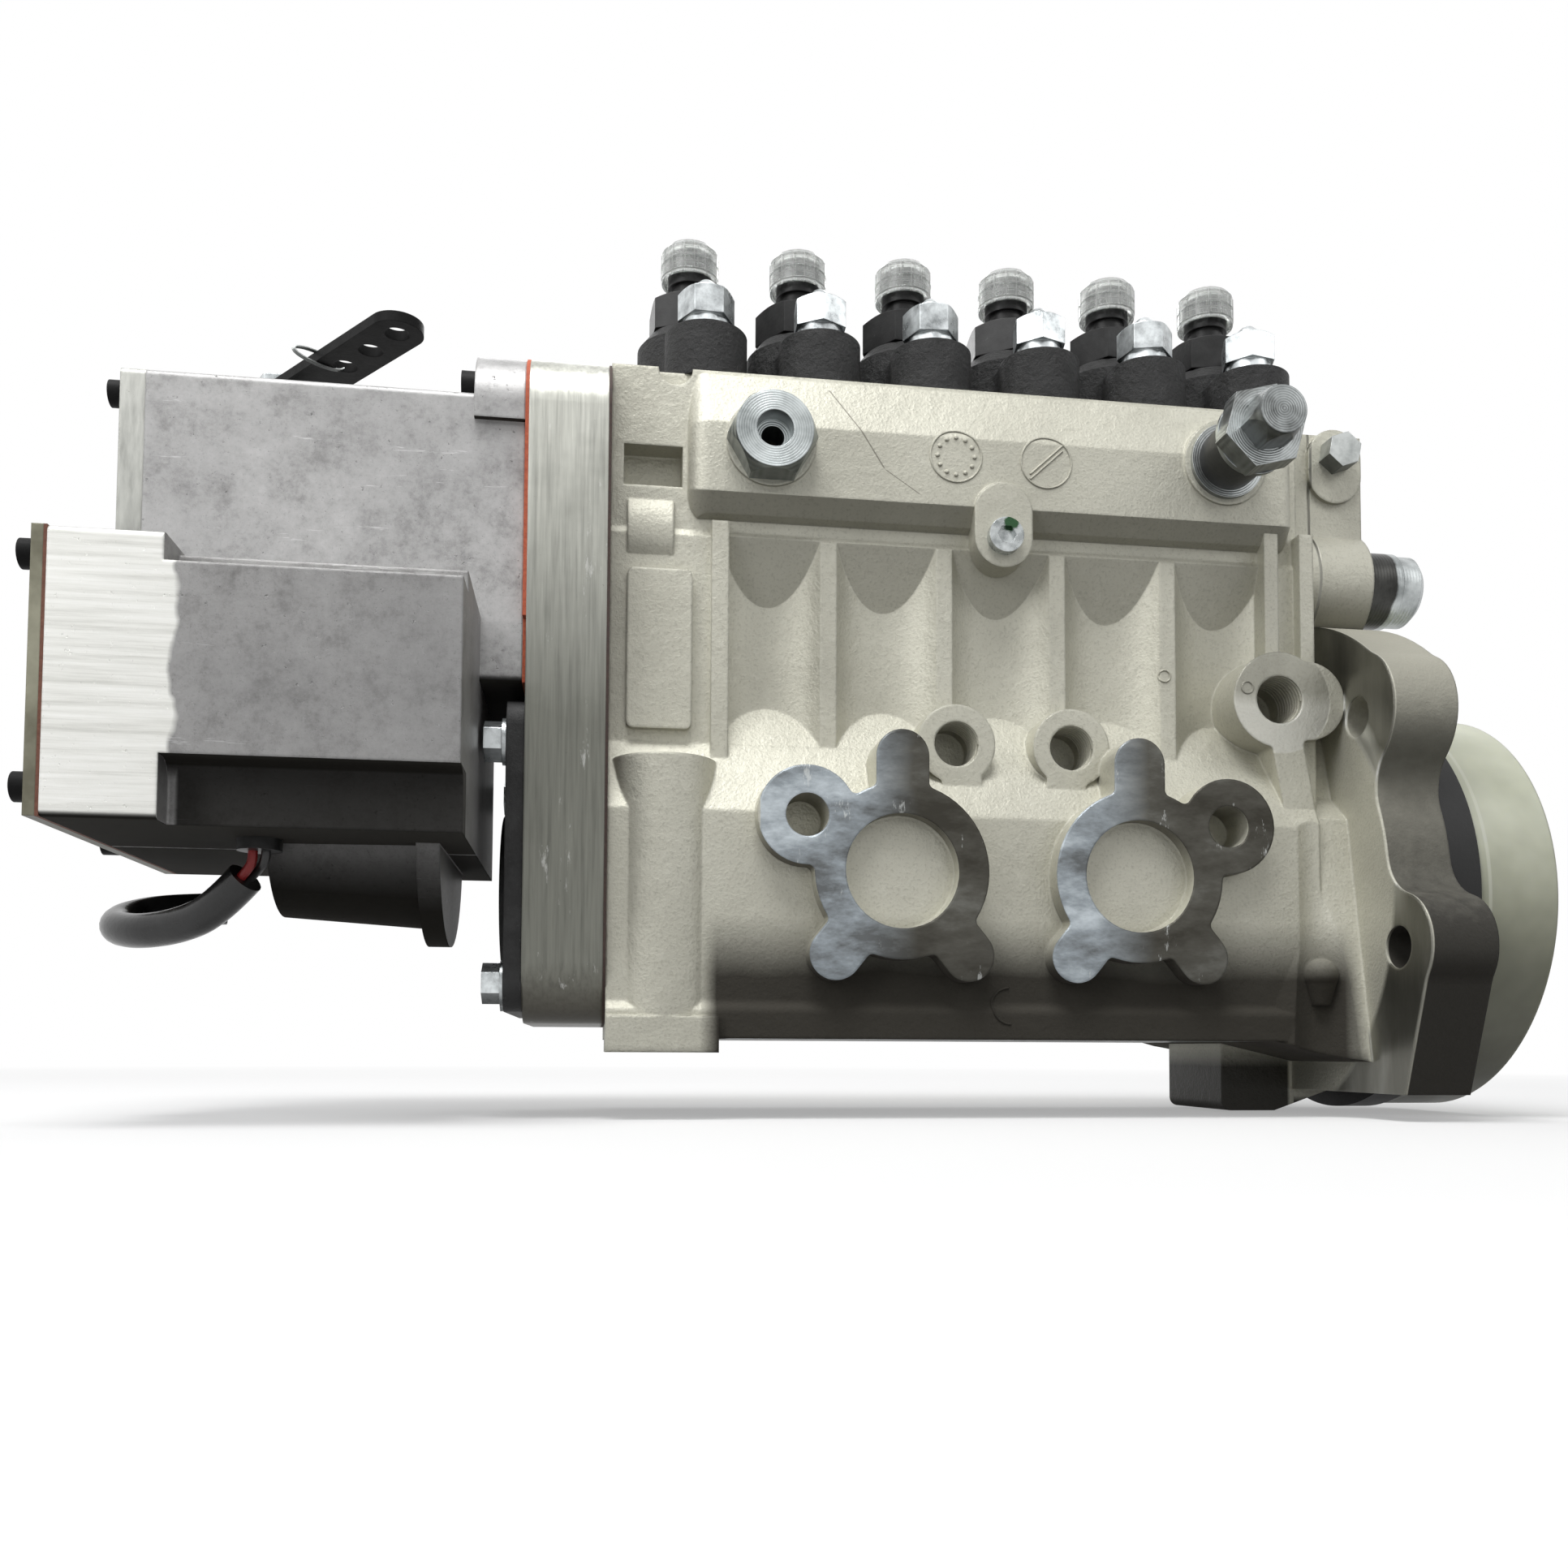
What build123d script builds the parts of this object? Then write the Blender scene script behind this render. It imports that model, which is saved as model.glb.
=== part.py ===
from build123d import *
import math
import os

# Six cylinder in-line diesel injection pump with an electric governor. Millimetres.
# +X points out of the drive end, +Z up, -Y is the side that carries the feed pump pads.
# The origin is the centre of the pilot on the engine face of the mounting flange.

# Running and seating clearances
running_gap = 0.05
free_gap = 0.4

# Trimmed corners of hexagons
corner_trim_share = 0.48
corner_trim_angle = 30.0

# Row of pumping elements
element_count = 6
element_pitch = 35.0
first_element_x = -42.0
deck_z = 152.0
deck_half_width = 36.0

# Housing
housing_left_x = -241.7
housing_right_x = -2.0
core_right_x = -30.0
wall_half_width = 37.0
end_half_width = 26.0
chamber_half_width = 48.0
base_half_width = 50.0
chamber_top_z = 20.0
shoulder_top_z = 41.0
base_strip_z = -34.0
base_z = -44.0
wall_top_z = 104.0
cast_round = 2.5
wall_step = 2.0
shoulder_drop = 9.0
shoulder_run = 5.0
drive_box_low_z = 60.0
rack_boss_radius = 19.0
rack_boss_y = -14.0
through = 100.0

# Fuel gallery block
gallery_left_x = -219.5
gallery_right_x = -33.0
gallery_depth_y = 42.5
gallery_bottom_z = 108.5
gallery_axis_z = 128.7
gallery_axis_y = 28.0
gallery_bore_radius = 5.5
gallery_end_wall = 8.0
gallery_root_y = 30.0
gallery_low_slope = 4.0
gallery_low_chamfer = 5.0
gallery_high_chamfer = 18.0
gallery_top_drop = 1.0
gallery_end_round = 6.0
gallery_corner_round = 10.0
gallery_keep_height = 200.0
port_boss_radius = 13.1
port_boss_height = 0.8
port_bore_radius = 5.3

# Scallops between the ribs
rib_offset_x = 4.1
rib_width = 5.0
scallop_radius = 20.0
scallop_floor_y = 30.0
scallop_root_y = 29.0
scallop_root_low_z = 55.4
scallop_root_high_z = 81.3
scallop_top_z = 103.0

# Corner column and foot at the governor end
column_radius = 15.0
column_x = -225.6
column_y = -37.0
column_top_z = 35.0
foot_bottom_z = -48.0
foot_hole_radius = 5.1
foot_hole_depth = 16.0
foot_top_z = -38.0
foot_inner_y = -12.0
panel_left_x = -236.7
panel_right_x = -218.1
panel_low_z = 44.5
panel_high_z = 91.0
panel_rise = 2.5
panel_round = 2.0
end_boss_radius = 18.5
end_boss_left_x = -236.8
end_boss_right_x = -223.5
corner_rib_x = -210.0
corner_rib_low_z = 30.0
corner_rib_high_z = 106.0
notch_left_x = -238.0
notch_right_x = -221.0
notch_low_z = 116.5
notch_high_z = 128.5
notch_back_y = -28.0
deck_notch_x = -223.2
deck_notch_radius = 5.0
deck_notch_back_y = -33.0

# Feed pump pads
pad_face_y = -54.7
pad_z = 3.2
pad_x = (-159.5, -89.6)
pad_ring_radius = 25.0
pad_recess_radius = 16.25
pad_recess_depth = 5.0
pad_hole_radius = 6.1
pad_hole_depth = 14.0
pad_hole_dx = 27.1
pad_hole_dz = 15.1
pad_hole_lobe_radius = 14.0
pad_hole_bar_radius = 9.8
pad_back_y = -40.0
pad_blend = 2.0
pad_arm_radius = 7.6
pad_arm_dz = 32.5
pad_leg_radius = 7.4
pad_leg_dx = 19.0
pad_leg_dz = -23.6

# Small bosses above the pads
boss_x = (-140.8, -105.8)
boss_z = 42.4
boss_face_y = -43.0
boss_radius = 11.7
boss_hole_radius = 6.66
boss_hole_depth = 16.0
boss_stem_shift = 3.0
boss_stem_radius = 6.0
boss_stem_z = 22.0
boss_back_y = -25.0

# Large boss beside the flange
large_boss_x = -41.0
large_boss_z = 59.1
large_boss_face_y = -45.0
large_boss_radius = 14.6
large_boss_hole_radius = 7.3
large_boss_hole_depth = 20.0
large_boss_back_y = -20.0
large_boss_arm = 9.0
large_boss_arm_radius = 12.0
large_boss_rib_half = 2.2
large_boss_rib_top_z = 112.0
large_boss_rib_face_y = -41.0
second_rib_shift = 11.5
second_rib_low_z = 16.0
large_boss_leg_radius = 5.0
large_boss_leg_z = 10.0
large_boss_blend = 1.5

# Small cast knob and the foot under the drive end
knob_centre = (-30.8, -48.0, -24.2)
knob_radius = 5.0
knob_tail = 9.0
drive_foot_left_x = -44.0
drive_foot_front_y = -10.0
drive_foot_back_y = 30.0
drive_foot_bottom_z = -66.0
drive_foot_slope_x = -26.0
drive_foot_end_x = -6.0
drive_foot_round = 3.0

# Mounting flange and pilot
flange_thickness = 20.0
flange_arch_radius = 92.0
flange_blend = 14.0
flare_left_x = -46.0
valley_x = -33.0
valley_y = 57.0
valley_radius = 10.0
valley_top_z = 24.0
flare_left_points = ((20.0, 84.0), (34.0, 33.0), (42.0, 24.0), (49.0, -44.0))
flare_right_points = ((22.2, 86.2), (36.5, 30.9), (45.4, 23.1), (57.0, -50.0))
flange_hole_radius = 6.1
upper_hole_y = 51.5
upper_hole_z = 53.0
upper_lobe_radius = 19.0
lower_hole_y = 70.5
lower_hole_z = -17.3
lower_lobe_radius = 15.5
flange_core_radius = 66.0
flange_bottom_z = -59.0
flange_bottom_y = 72.3
pilot_radius = 65.0
pilot_length = 10.0
cap_seat_radius = 62.0
cap_seat_length = 5.0
retainer_spigot_radius = 45.0
retainer_spigot_length = 14.0
pilot_relief_depth = 1.0
pilot_relief_gap = 0.6
retainer_shoulder_radius = 61.0
pilot_ring_half_width = 1.5
pilot_ring_depth = 3.0
pilot_groove_x = 5.0

# Camshaft
tunnel_radius = 31.0
shaft_radius = 14.0
journal_radius = 17.5
lobe_base_radius = 17.0
lobe_nose_radius = 9.0
lobe_lift = 8.0
lobe_width = 14.0
taper_length = 14.0
taper_small_radius = 13.0
thread_radius = 10.0
shaft_end_x = 30.0
taper_start_x = 10.0
bearing_width = 15.0
drive_bearing_right_x = 4.0
rear_bearing_inset = 3.0
roller_end_gap = 1.5
seal_gap = 1.0
seal_outer_radius = 22.0
taper_step = 0.5
key_slot_inset = 2.0
key_depth = 2.0
bearing_ring = 4.2
roller_count = 14
key_width = 5.0
key_length = 9.0
firing_angles = (0, 240, 120, 300, 60, 180)

# Tappets, springs and plungers
tappet_radius = 15.0
roller_radius = 10.0
roller_width = 12.0
tappet_height = 25.0
tappet_below_roller = 5.0
roller_pin_radius = 3.0
roller_pin_length = 27.0
spring_plate_thickness = 2.6
plunger_foot_height = 3.0
plunger_foot_radius = 7.5
plunger_tip_drop = 22.0
spring_outer_radius = 12.6
spring_inner_radius = 9.4
barrel_skirt_radius = 8.0
barrel_body_radius = 11.0
plunger_radius = 5.0
sleeve_outer_radius = 10.5
sleeve_bottom_z = 99.3
sleeve_top_z = 112.0
barrel_bottom_z = 98.4
barrel_shoulder_z = 114.0
barrel_top_z = 158.0
sleeve_window_half = 11.5
sleeve_window_front = 5.5
sleeve_window_back_y = -8.0

# Control rack
rack_y = -20.0
rack_z = 103.0
rack_radius = 5.5
rack_left_x = -336.0
rack_right_x = 0.0
rack_slot_floor = -0.8
pin_radius = 1.9
arm_width = 3.0
arm_root = 1.0
bridge_half = 17.0
bridge_gap_half = 16.0
bridge_half_height = 3.4
bridge_rise = 0.4

# Delivery flanges, valve holders and transit caps
collar_radius = 16.5
stud_lobe_radius = 12.5
stud_lobe_top_z = 168.0
stud_dx = 3.56
stud_dy = -22.8
sleeve_body_radius = 14.45
stud_radius = 4.0
stud_depth = 18.0
stud_hole_gap = 0.5
stud_tip = 2.0
collar_blend = 8.0
collar_top_z = 174.0
collar_cone_radius = 13.0
collar_gap = 0.4
stud_rise = 4.0
washer_thickness = 2.0
washer_radius = 8.0
nut_across_flats = 15.0
nut_collar_height = 4.4
nut_height = 7.6
nut_waist = 0.6
nut_overlap = 1.2
nut_turn = 12.0
nut_turn_step = 17.0
holder_hex_across_flats = 24.0
holder_hex_bottom_z = 178.8
holder_hex_top_z = 189.8
holder_neck_radius = 5.8
holder_thread_radius = 7.0
holder_thread_bottom_z = 195.5
holder_top_z = 206.5
holder_bore_radius = 1.6
transit_cap_radius = 9.0
transit_cap_bottom_z = 197.8
transit_cap_top_z = 208.6
transit_cap_mouth_radius = 8.2
transit_cap_mouth_height = 1.6
transit_cap_chamfer = 1.5
transit_cap_chamfer_in = 1.2
transit_cap_roof_gap = 0.3
holder_turns = (-14.0, 10.0, 27.0, 7.0, 4.0, -25.0)
holder_chamfer = 1.0
holder_mouth_radius = 4.6
holder_mouth_depth = 4.0
holder_room_radius = 6.0
holder_room_height = 8.0

# Fittings on the gallery
inlet_x = -195.8
inlet_face_y = -52.0
inlet_hex_across_flats = 22.6
inlet_hole_radius = 5.3
inlet_hole_depth = 6.0
inlet_shank = 7.0
inlet_way_radius = 3.3
overflow_x = -56.5
overflow_z = 131.9
overflow_washer_radius = 11.4
overflow_sleeve_radius = 9.3
overflow_sleeve_end_y = -60.0
overflow_hex_across_flats = 22.0
overflow_hex_end_y = -68.5
overflow_bolt_across_flats = 14.0
overflow_bolt_end_y = -78.5
overflow_washer_thickness = 1.6
overflow_shank_radius = 5.0
overflow_shank_end_y = -33.5
overflow_union_turn = 15.0
overflow_bolt_turn = 10.0
hex_trim_root = 0.66
hex_trim_face = 0.49
guide_screw_x = -126.4
guide_screw_z = 104.3
guide_screw_face_y = -43.5
guide_boss_radius = 8.8
guide_boss_rise = 8.0
guide_screw_radius = 2.5
guide_socket = 5.0
guide_socket_depth = 1.6
guide_screw_head_radius = 5.2
guide_screw_head_height = 3.0
side_bolt_x = -11.7
side_bolt_z = 143.5
side_bolt_face_y = -27.5
side_bolt_across_flats = 10.0
side_bolt_head_height = 6.5
side_bolt_radius = 3.0
side_bolt_length = 12.0
side_bolt_turn = 20.0
side_boss_radius = 9.0
side_boss_drop = 6.0
side_boss_back_y = -20.0
rack_cap_radius = 12.0
rack_cap_end_x = 17.3
rack_cap_collar_x = 9.0
rack_cap_step = 0.7
rack_cap_chamfer = 2.0
rack_cap_roof = 4.0
rack_cap_room_gap = 1.0

# Base cover
cover_half_width = 42.0
cover_left_x = -207.0
cover_right_x = -46.0
cover_recess_depth = 4.0
cover_opening_inset = 13.0
cover_opening_top_z = -20.0
base_screw_radius = 3.0
base_screw_head_radius = 5.4
base_screw_length = 12.0
base_screw_inset = 7.0
base_screw_head_height = 2.4
base_screw_socket = 4.0
base_screw_socket_depth = 1.8
base_screw_columns = 5

# Adapter plate and its gaskets
housing_gasket_thickness = 0.8
plate_thickness = 22.0
plate_half_width = 50.0
plate_top_z = 151.0
plate_bottom_z = -40.0
plate_corner_radius = 18.0
governor_gasket_thickness = 1.0
rack_passage_radius = 7.0
plate_screw_radius = 3.0
plate_screw_depth = 12.0
ear_screw_y = 31.0
ear_screw_z = 143.5
ear_screw_head_radius = 5.0
ear_screw_head_height = 5.0

# Governor housing and its end cover
governor_left_x = -366.0
governor_half_width = 47.0
governor_bottom_z = 54.0
governor_top_z = 135.5
governor_wall = 6.0
governor_round = 2.0
ear_low_z = 90.0
ear_overlap = 8.0
ear_edge_inset = 1.0
governor_ear_thickness = 14.0
governor_cover_thickness = 6.5
small_screw_head_radius = 3.6
small_screw_head_height = 4.0
small_screw_radius = 2.0
small_screw_length = 10.0
cover_screw_inset = 5.5
cover_low_z = 74.0
cover_low_screw_z = 82.5
arm_window_half = 16.0
arm_window_gap = 3.0
arm_window_low_z = 45.0
bushing_seat_depth = 10.0

# Actuator housing and its end cover
actuator_left_x = -371.0
actuator_right_x = -277.0
actuator_front_y = -95.0
actuator_bottom_z = 5.5
actuator_top_z = 73.5
actuator_step_x = -345.5
actuator_step_drop = 7.0
actuator_back_y = 10.0
actuator_wall = 6.0
actuator_groove_top_z = 21.0
actuator_groove_depth = 8.0
actuator_groove_round = 5.0
actuator_step_depth = 12.0
actuator_top_drop = 1.6
actuator_round = 1.5
actuator_split_y = -47.0
motor_room_back_y = -54.0
arm_room_front_y = -46.0
motor_room_inset = 10.0
actuator_screw_depth = 8.0
actuator_screw_places = ((-89.5, 68.0), (-89.5, 13.0), (-31.0, 9.0), (7.0, 50.8))
actuator_gasket_thickness = 0.8
actuator_cover_thickness = 2.7
sheet_step = 0.5
cup_left_x = -329.0
cup_right_x = -284.5
cup_y = -38.0
cup_z = 12.0
cup_left_radius = 23.5
cup_right_radius = 26.5
cup_rim_radius = 31.0
cup_rim_width = 6.0

# Actuator motor and its arm
motor_x = -318.0
motor_z = 40.0
motor_shaft_radius = 4.0
motor_shaft_front_y = -84.0
motor_shaft_back_y = -10.0
rotor_radius = 11.0
rotor_front_y = -80.0
rotor_back_y = -56.0
stator_end_wall = 5.0
arm_hub_radius = 7.0
arm_half_width = 4.0
fork_half_width = 7.0
fork_depth = 7.0
fork_rise = 4.0
fork_root = 14.0
rotor_front_gap = 2.0
stator_outer_radius = 22.0
arm_front_y = -23.4
arm_back_y = -16.6
fork_pin_radius = 3.0

# Camshaft end cover on the adapter plate
shaft_cover_thickness = 5.0
shaft_cover_half_width = 48.6
shaft_cover_top_z = 50.0
shaft_cover_bottom_z = -37.0
shaft_cover_corner = 8.0
shaft_cover_hub_radius = 24.0
shaft_cover_hub_height = 3.0
plate_bolt_flats = 10.0
plate_bolt_head_height = 5.0
plate_bolt_washer_radius = 6.5
plate_bolt_washer_thickness = 1.2
plate_bolt_places = ((-43.0, 38.0), (43.0, 38.0), (-37.0, -29.0), (37.0, -29.0))

# Stop lever
lever_x = -348.0
lever_y = 25.6
lever_bottom_z = 160.5
lever_thickness = 3.0
lever_heading = -49.8
lever_tip_hole = 68.4
lever_hole_pitch = 14.2
lever_hole_radius = 3.6
lever_hole_count = 3
lever_half_width = 7.6
lever_shaft_radius = 4.5
lever_bushing_radius = 8.0
lever_bushing_bottom_z = 127.0
lever_bushing_top_z = 158.0
lever_hub_rim = 2.5
stop_dog_drop = 9.0
stop_dog_height = 6.0
stop_dog_length = 20.0
stop_dog_half = 4.0
stop_nut_flats = 13.0
stop_nut_height = 5.0
stop_shaft_rise = 6.0
stop_spacer_radius = 7.0
bushing_collar_radius = 11.0
bushing_collar_height = 6.0

# Actuator cable
wire_radius = 1.2
cable_radius = 4.6
gland_x = -329.0
gland_y = -67.0
gland_radius = 4.5
gland_lip = 1.0
gland_drop = 3.0
wire_spread = 1.6
wire_run = 2.6
cable_points = [
    (-333.0, -64.0, -4.0),
    (-341.0, -60.0, -12.0),
    (-352.0, -54.0, -16.0),
    (-364.0, -48.0, -17.0),
    (-373.0, -38.0, -15.0),
    (-373.0, -26.0, -11.0),
    (-364.0, -17.0, -8.0),
    (-351.0, -12.0, -7.0),
]

# Drive cap
drive_cap_radius = 64.0
drive_cap_end_x = 34.0
drive_cap_wall = 2.2
drive_cap_lip = 3.0
drive_cap_rim_rise = 1.2
drive_cap_rim_width = 4.0

# Derived positions
element_xs = [first_element_x - element_pitch * i for i in range(element_count)]
plate_right_x = housing_left_x - housing_gasket_thickness
plate_left_x = plate_right_x - plate_thickness
governor_right_x = plate_left_x - governor_gasket_thickness
tappet_roller_z = lobe_base_radius + lobe_lift + roller_radius + free_gap
tappet_bottom_z = tappet_roller_z - tappet_below_roller
tappet_top_z = tappet_bottom_z + tappet_height
collar_cone_top_z = holder_hex_bottom_z - collar_gap
nut_bottom_z = stud_lobe_top_z + washer_thickness
nut_room = nut_across_flats / math.sqrt(3) + collar_gap
nut_collar_top_z = nut_bottom_z + nut_collar_height
nut_top_z = nut_collar_top_z + nut_height
stud_top_z = nut_top_z + stud_rise
spring_plate_bottom_z = barrel_bottom_z - spring_plate_thickness
port_boss_face_y = -gallery_depth_y - port_boss_height
rib_xs = [x + rib_offset_x for x in element_xs[1:5]]


def span_box(x0, x1, y0, y1, z0, z1):
    centre = Pos((x0 + x1) / 2, (y0 + y1) / 2, (z0 + z1) / 2)
    return centre * Box(abs(x1 - x0), abs(y1 - y0), abs(z1 - z0))


def rod_x(radius, x0, x1, y=0.0, z=0.0):
    return Pos((x0 + x1) / 2, y, z) * Rot(0, 90, 0) * Cylinder(radius, abs(x1 - x0))


def rod_y(radius, y0, y1, x=0.0, z=0.0):
    return Pos(x, (y0 + y1) / 2, z) * Rot(90, 0, 0) * Cylinder(radius, abs(y1 - y0))


def rod_z(radius, z0, z1, x=0.0, y=0.0):
    return Pos(x, y, (z0 + z1) / 2) * Cylinder(radius, abs(z1 - z0))


def cone_z(low_radius, high_radius, z0, z1, x=0.0, y=0.0):
    return Pos(x, y, (z0 + z1) / 2) * Cone(low_radius, high_radius, z1 - z0)


def cone_x(left_radius, right_radius, x0, x1, y=0.0, z=0.0):
    return Pos((x0 + x1) / 2, y, z) * Rot(0, 90, 0) * Cone(left_radius, right_radius, x1 - x0)


def hexagon(across_flats, height):
    outline = RegularPolygon(across_flats / 2, 6, major_radius=False)
    return extrude(outline, height)


def hex_z(across_flats, z0, z1, x=0.0, y=0.0, turn=0.0):
    return Pos(x, y, z0) * Rot(0, 0, turn) * hexagon(across_flats, z1 - z0)


def hex_out(across_flats, y0, y1, x, z, turn=0.0):
    # A hexagon whose axis runs from y0 towards the front at y1
    return Pos(x, y0, z) * Rot(90, 0, 0) * Rot(0, 0, turn) * hexagon(across_flats, y0 - y1)


def chamfer_cutter_z(across_flats, top_z, x, y):
    # Cone that trims the corners of a hexagon below top_z
    top_radius = across_flats * corner_trim_share
    height = across_flats * math.tan(math.radians(corner_trim_angle))
    wide_radius = top_radius + across_flats
    cutter = cone_z(wide_radius, top_radius, top_z - height, top_z, x, y)
    return cutter + rod_z(wide_radius, 0, top_z - height, x, y)


def trim_out(across_flats, y0, y1, x, z):
    # Cone that trims the corners of a hexagon on its face at y1
    cone = Cone(across_flats * hex_trim_root, across_flats * hex_trim_face, y0 - y1)
    return Pos(x, (y0 + y1) / 2, z) * Rot(90, 0, 0) * cone


def yz_prism(points, x0, x1):
    face = make_face(Polyline(*[(0, y, z) for y, z in points], close=True))
    return Pos(x0, 0, 0) * extrude(face, amount=x1 - x0, dir=(1, 0, 0))


def capsule(x0, y0, x1, y1, radius):
    # Plan outline that joins two equal circles
    length = math.hypot(x1 - x0, y1 - y0)
    heading = math.degrees(math.atan2(y1 - y0, x1 - x0))
    bar = Pos((x0 + x1) / 2, (y0 + y1) / 2) * Rot(0, 0, heading) * Rectangle(length, 2 * radius)
    return bar + Pos(x0, y0) * Circle(radius) + Pos(x1, y1) * Circle(radius)


def front_extrude(outline, y_back, y_front):
    # An outline drawn as (x, z) becomes a slab between the two y planes
    return Pos(0, y_back, 0) * Rot(90, 0, 0) * extrude(outline, y_back - y_front)


def side_extrude(outline, x0, x1):
    # An outline drawn as (y, z) becomes a slab between the two x planes
    turned = Rot(0, 90, 0) * Rot(0, 0, 90) * extrude(outline, x1 - x0)
    return Pos(x0, 0, 0) * turned


def softened(outline, radius):
    # Rounds the inner corners where lobes join
    grown = offset(outline, amount=radius)
    return offset(grown, amount=-radius)


def rounded_plate(half_width, z0, z1, radius, x0, x1):
    outline = Pos(0, (z0 + z1) / 2) * RectangleRounded(2 * half_width, z1 - z0, radius)
    return side_extrude(outline, x0, x1)


def socket_screw_left(radius, head_radius, head_height, length, x, y, z):
    # Socket head screw whose head stands out towards -X from the plane at x
    body = rod_x(head_radius, x - head_height, x, y, z) + rod_x(radius, x, x + length, y, z)
    socket = Pos(x - head_height, y, z) * Rot(0, 90, 0) * hexagon(head_radius, head_height / 2)
    return body - socket


def small_socket_screw(length, x, y, z):
    head = (small_screw_head_radius, small_screw_head_height)
    return socket_screw_left(small_screw_radius, *head, length, x, y, z)


def group(solids):
    return Compound(children=list(solids))


# Pump housing


def housing_section():
    half = [
        (deck_half_width, deck_z),
        (deck_half_width, wall_top_z),
        (wall_half_width, wall_top_z - wall_step),
        (wall_half_width, shoulder_top_z),
        (wall_half_width + shoulder_run, shoulder_top_z - shoulder_drop),
        (chamber_half_width, chamber_top_z),
        (chamber_half_width, base_strip_z),
        (base_half_width, base_strip_z - wall_step),
        (base_half_width, base_z),
    ]
    other = [(-y, z) for y, z in reversed(half)]
    return half + other


def scallop(x, side):
    # Upright hollow with a sloping roof and a sill that carries on the shoulder below it
    centre_y = scallop_floor_y + scallop_radius
    hollow = rod_z(scallop_radius, shoulder_top_z, scallop_top_z, x, side * centre_y)
    profile = [
        (side * scallop_root_y, scallop_root_low_z),
        (side * scallop_root_y, scallop_root_high_z),
        (side * wall_half_width, scallop_top_z),
        (side * centre_y, scallop_top_z),
        (side * centre_y, shoulder_top_z),
        (side * wall_half_width, shoulder_top_z),
    ]
    keep = (element_pitch - rib_width) / 2
    return hollow & yz_prism(profile, x - keep, x + keep)


def gallery_block():
    top = deck_z - gallery_top_drop
    points = [
        (-gallery_root_y, gallery_bottom_z - gallery_low_slope),
        (-gallery_depth_y + gallery_low_slope, gallery_bottom_z),
        (-gallery_depth_y, gallery_bottom_z + gallery_low_chamfer),
        (-gallery_depth_y, deck_z - gallery_high_chamfer),
        (-deck_half_width - 0.5, top),
        (-gallery_root_y, top),
    ]
    block = yz_prism(points, gallery_left_x, gallery_right_x)
    ends = block.edges().filter_by(Axis.X, reverse=True)
    ends = ends.filter_by_position(Axis.Y, -through, -deck_half_width - wall_step)
    block = fillet(ends, gallery_end_round)
    # The lower corners are rounded as seen from the front
    length = gallery_right_x - gallery_left_x
    middle_x = (gallery_left_x + gallery_right_x) / 2
    middle_z = gallery_bottom_z - gallery_low_slope + gallery_keep_height / 2
    front_view = RectangleRounded(length, gallery_keep_height, gallery_corner_round)
    return block & front_extrude(Pos(middle_x, middle_z) * front_view, 0, -through)


def pad_outline(sign):
    # sign is -1 where the bolt lobe points to -X
    outline = Circle(pad_ring_radius)
    outline += capsule(0, 0, sign * pad_hole_dx, pad_hole_dz, pad_hole_bar_radius)
    outline += Pos(sign * pad_hole_dx, pad_hole_dz) * Circle(pad_hole_lobe_radius)
    outline += capsule(0, 0, 0, pad_arm_dz, pad_arm_radius)
    outline += capsule(0, 0, -pad_leg_dx, pad_leg_dz, pad_leg_radius)
    outline += capsule(0, 0, pad_leg_dx, pad_leg_dz, pad_leg_radius)
    return softened(outline, pad_blend)


def flange_outline():
    # The arch ends where it touches the circles of the upper lobes
    share = flange_arch_radius / math.hypot(upper_hole_y, upper_hole_z)
    touch_y = upper_hole_y * share
    touch_z = upper_hole_z * share
    crown = Pos(0, touch_z + through / 2) * Rectangle(2 * touch_y, through)
    outline = Circle(flange_core_radius) + (Circle(flange_arch_radius) & crown)
    neck = [
        (-touch_y, touch_z),
        (-upper_hole_y, 0),
        (upper_hole_y, 0),
        (touch_y, touch_z),
    ]
    outline += make_face(Polyline(*neck, close=True))
    lower = [
        (-lower_hole_y - lower_lobe_radius, lower_hole_z),
        (lower_hole_y + lower_lobe_radius, lower_hole_z),
        (flange_bottom_y, flange_bottom_z),
        (-flange_bottom_y, flange_bottom_z),
    ]
    outline += make_face(Polyline(*lower, close=True))
    for side in (-1, 1):
        outline += Pos(side * upper_hole_y, upper_hole_z) * Circle(upper_lobe_radius)
        outline += Pos(side * lower_hole_y, lower_hole_z) * Circle(lower_lobe_radius)
    below = Pos(0, flange_bottom_z - through / 2) * Rectangle(2 * through, through)
    return softened(outline - below, flange_blend)


def housing_outside():
    body = yz_prism(housing_section(), housing_left_x, core_right_x)
    long_edges = body.edges().filter_by(Axis.X)
    long_edges = long_edges.filter_by_position(Axis.Z, base_strip_z - 2 * wall_step, shoulder_top_z + 1)
    body = fillet(long_edges, cast_round)
    scallop_xs = [x + element_pitch / 2 for x in rib_xs] + [rib_xs[-1] - element_pitch / 2]
    for x in scallop_xs:
        for side in (-1, 1):
            body -= scallop(x, side)
    top = deck_z - gallery_top_drop
    body += span_box(core_right_x - 1, housing_right_x, -end_half_width, end_half_width, drive_box_low_z, top)
    body += rod_x(rack_boss_radius, core_right_x, housing_right_x, rack_boss_y, rack_z)
    # A seat keeps the flange clear of the rack end cap when the arch grows
    seat = rod_x(rack_cap_radius, housing_right_x, 1, rack_y, rack_z)
    body += side_extrude(flange_outline(), -flange_thickness, 0) - seat
    body += flare()
    for side in (-1, 1):
        body -= rod_z(valley_radius, -through, valley_top_z, valley_x, side * valley_y)
    return body


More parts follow.
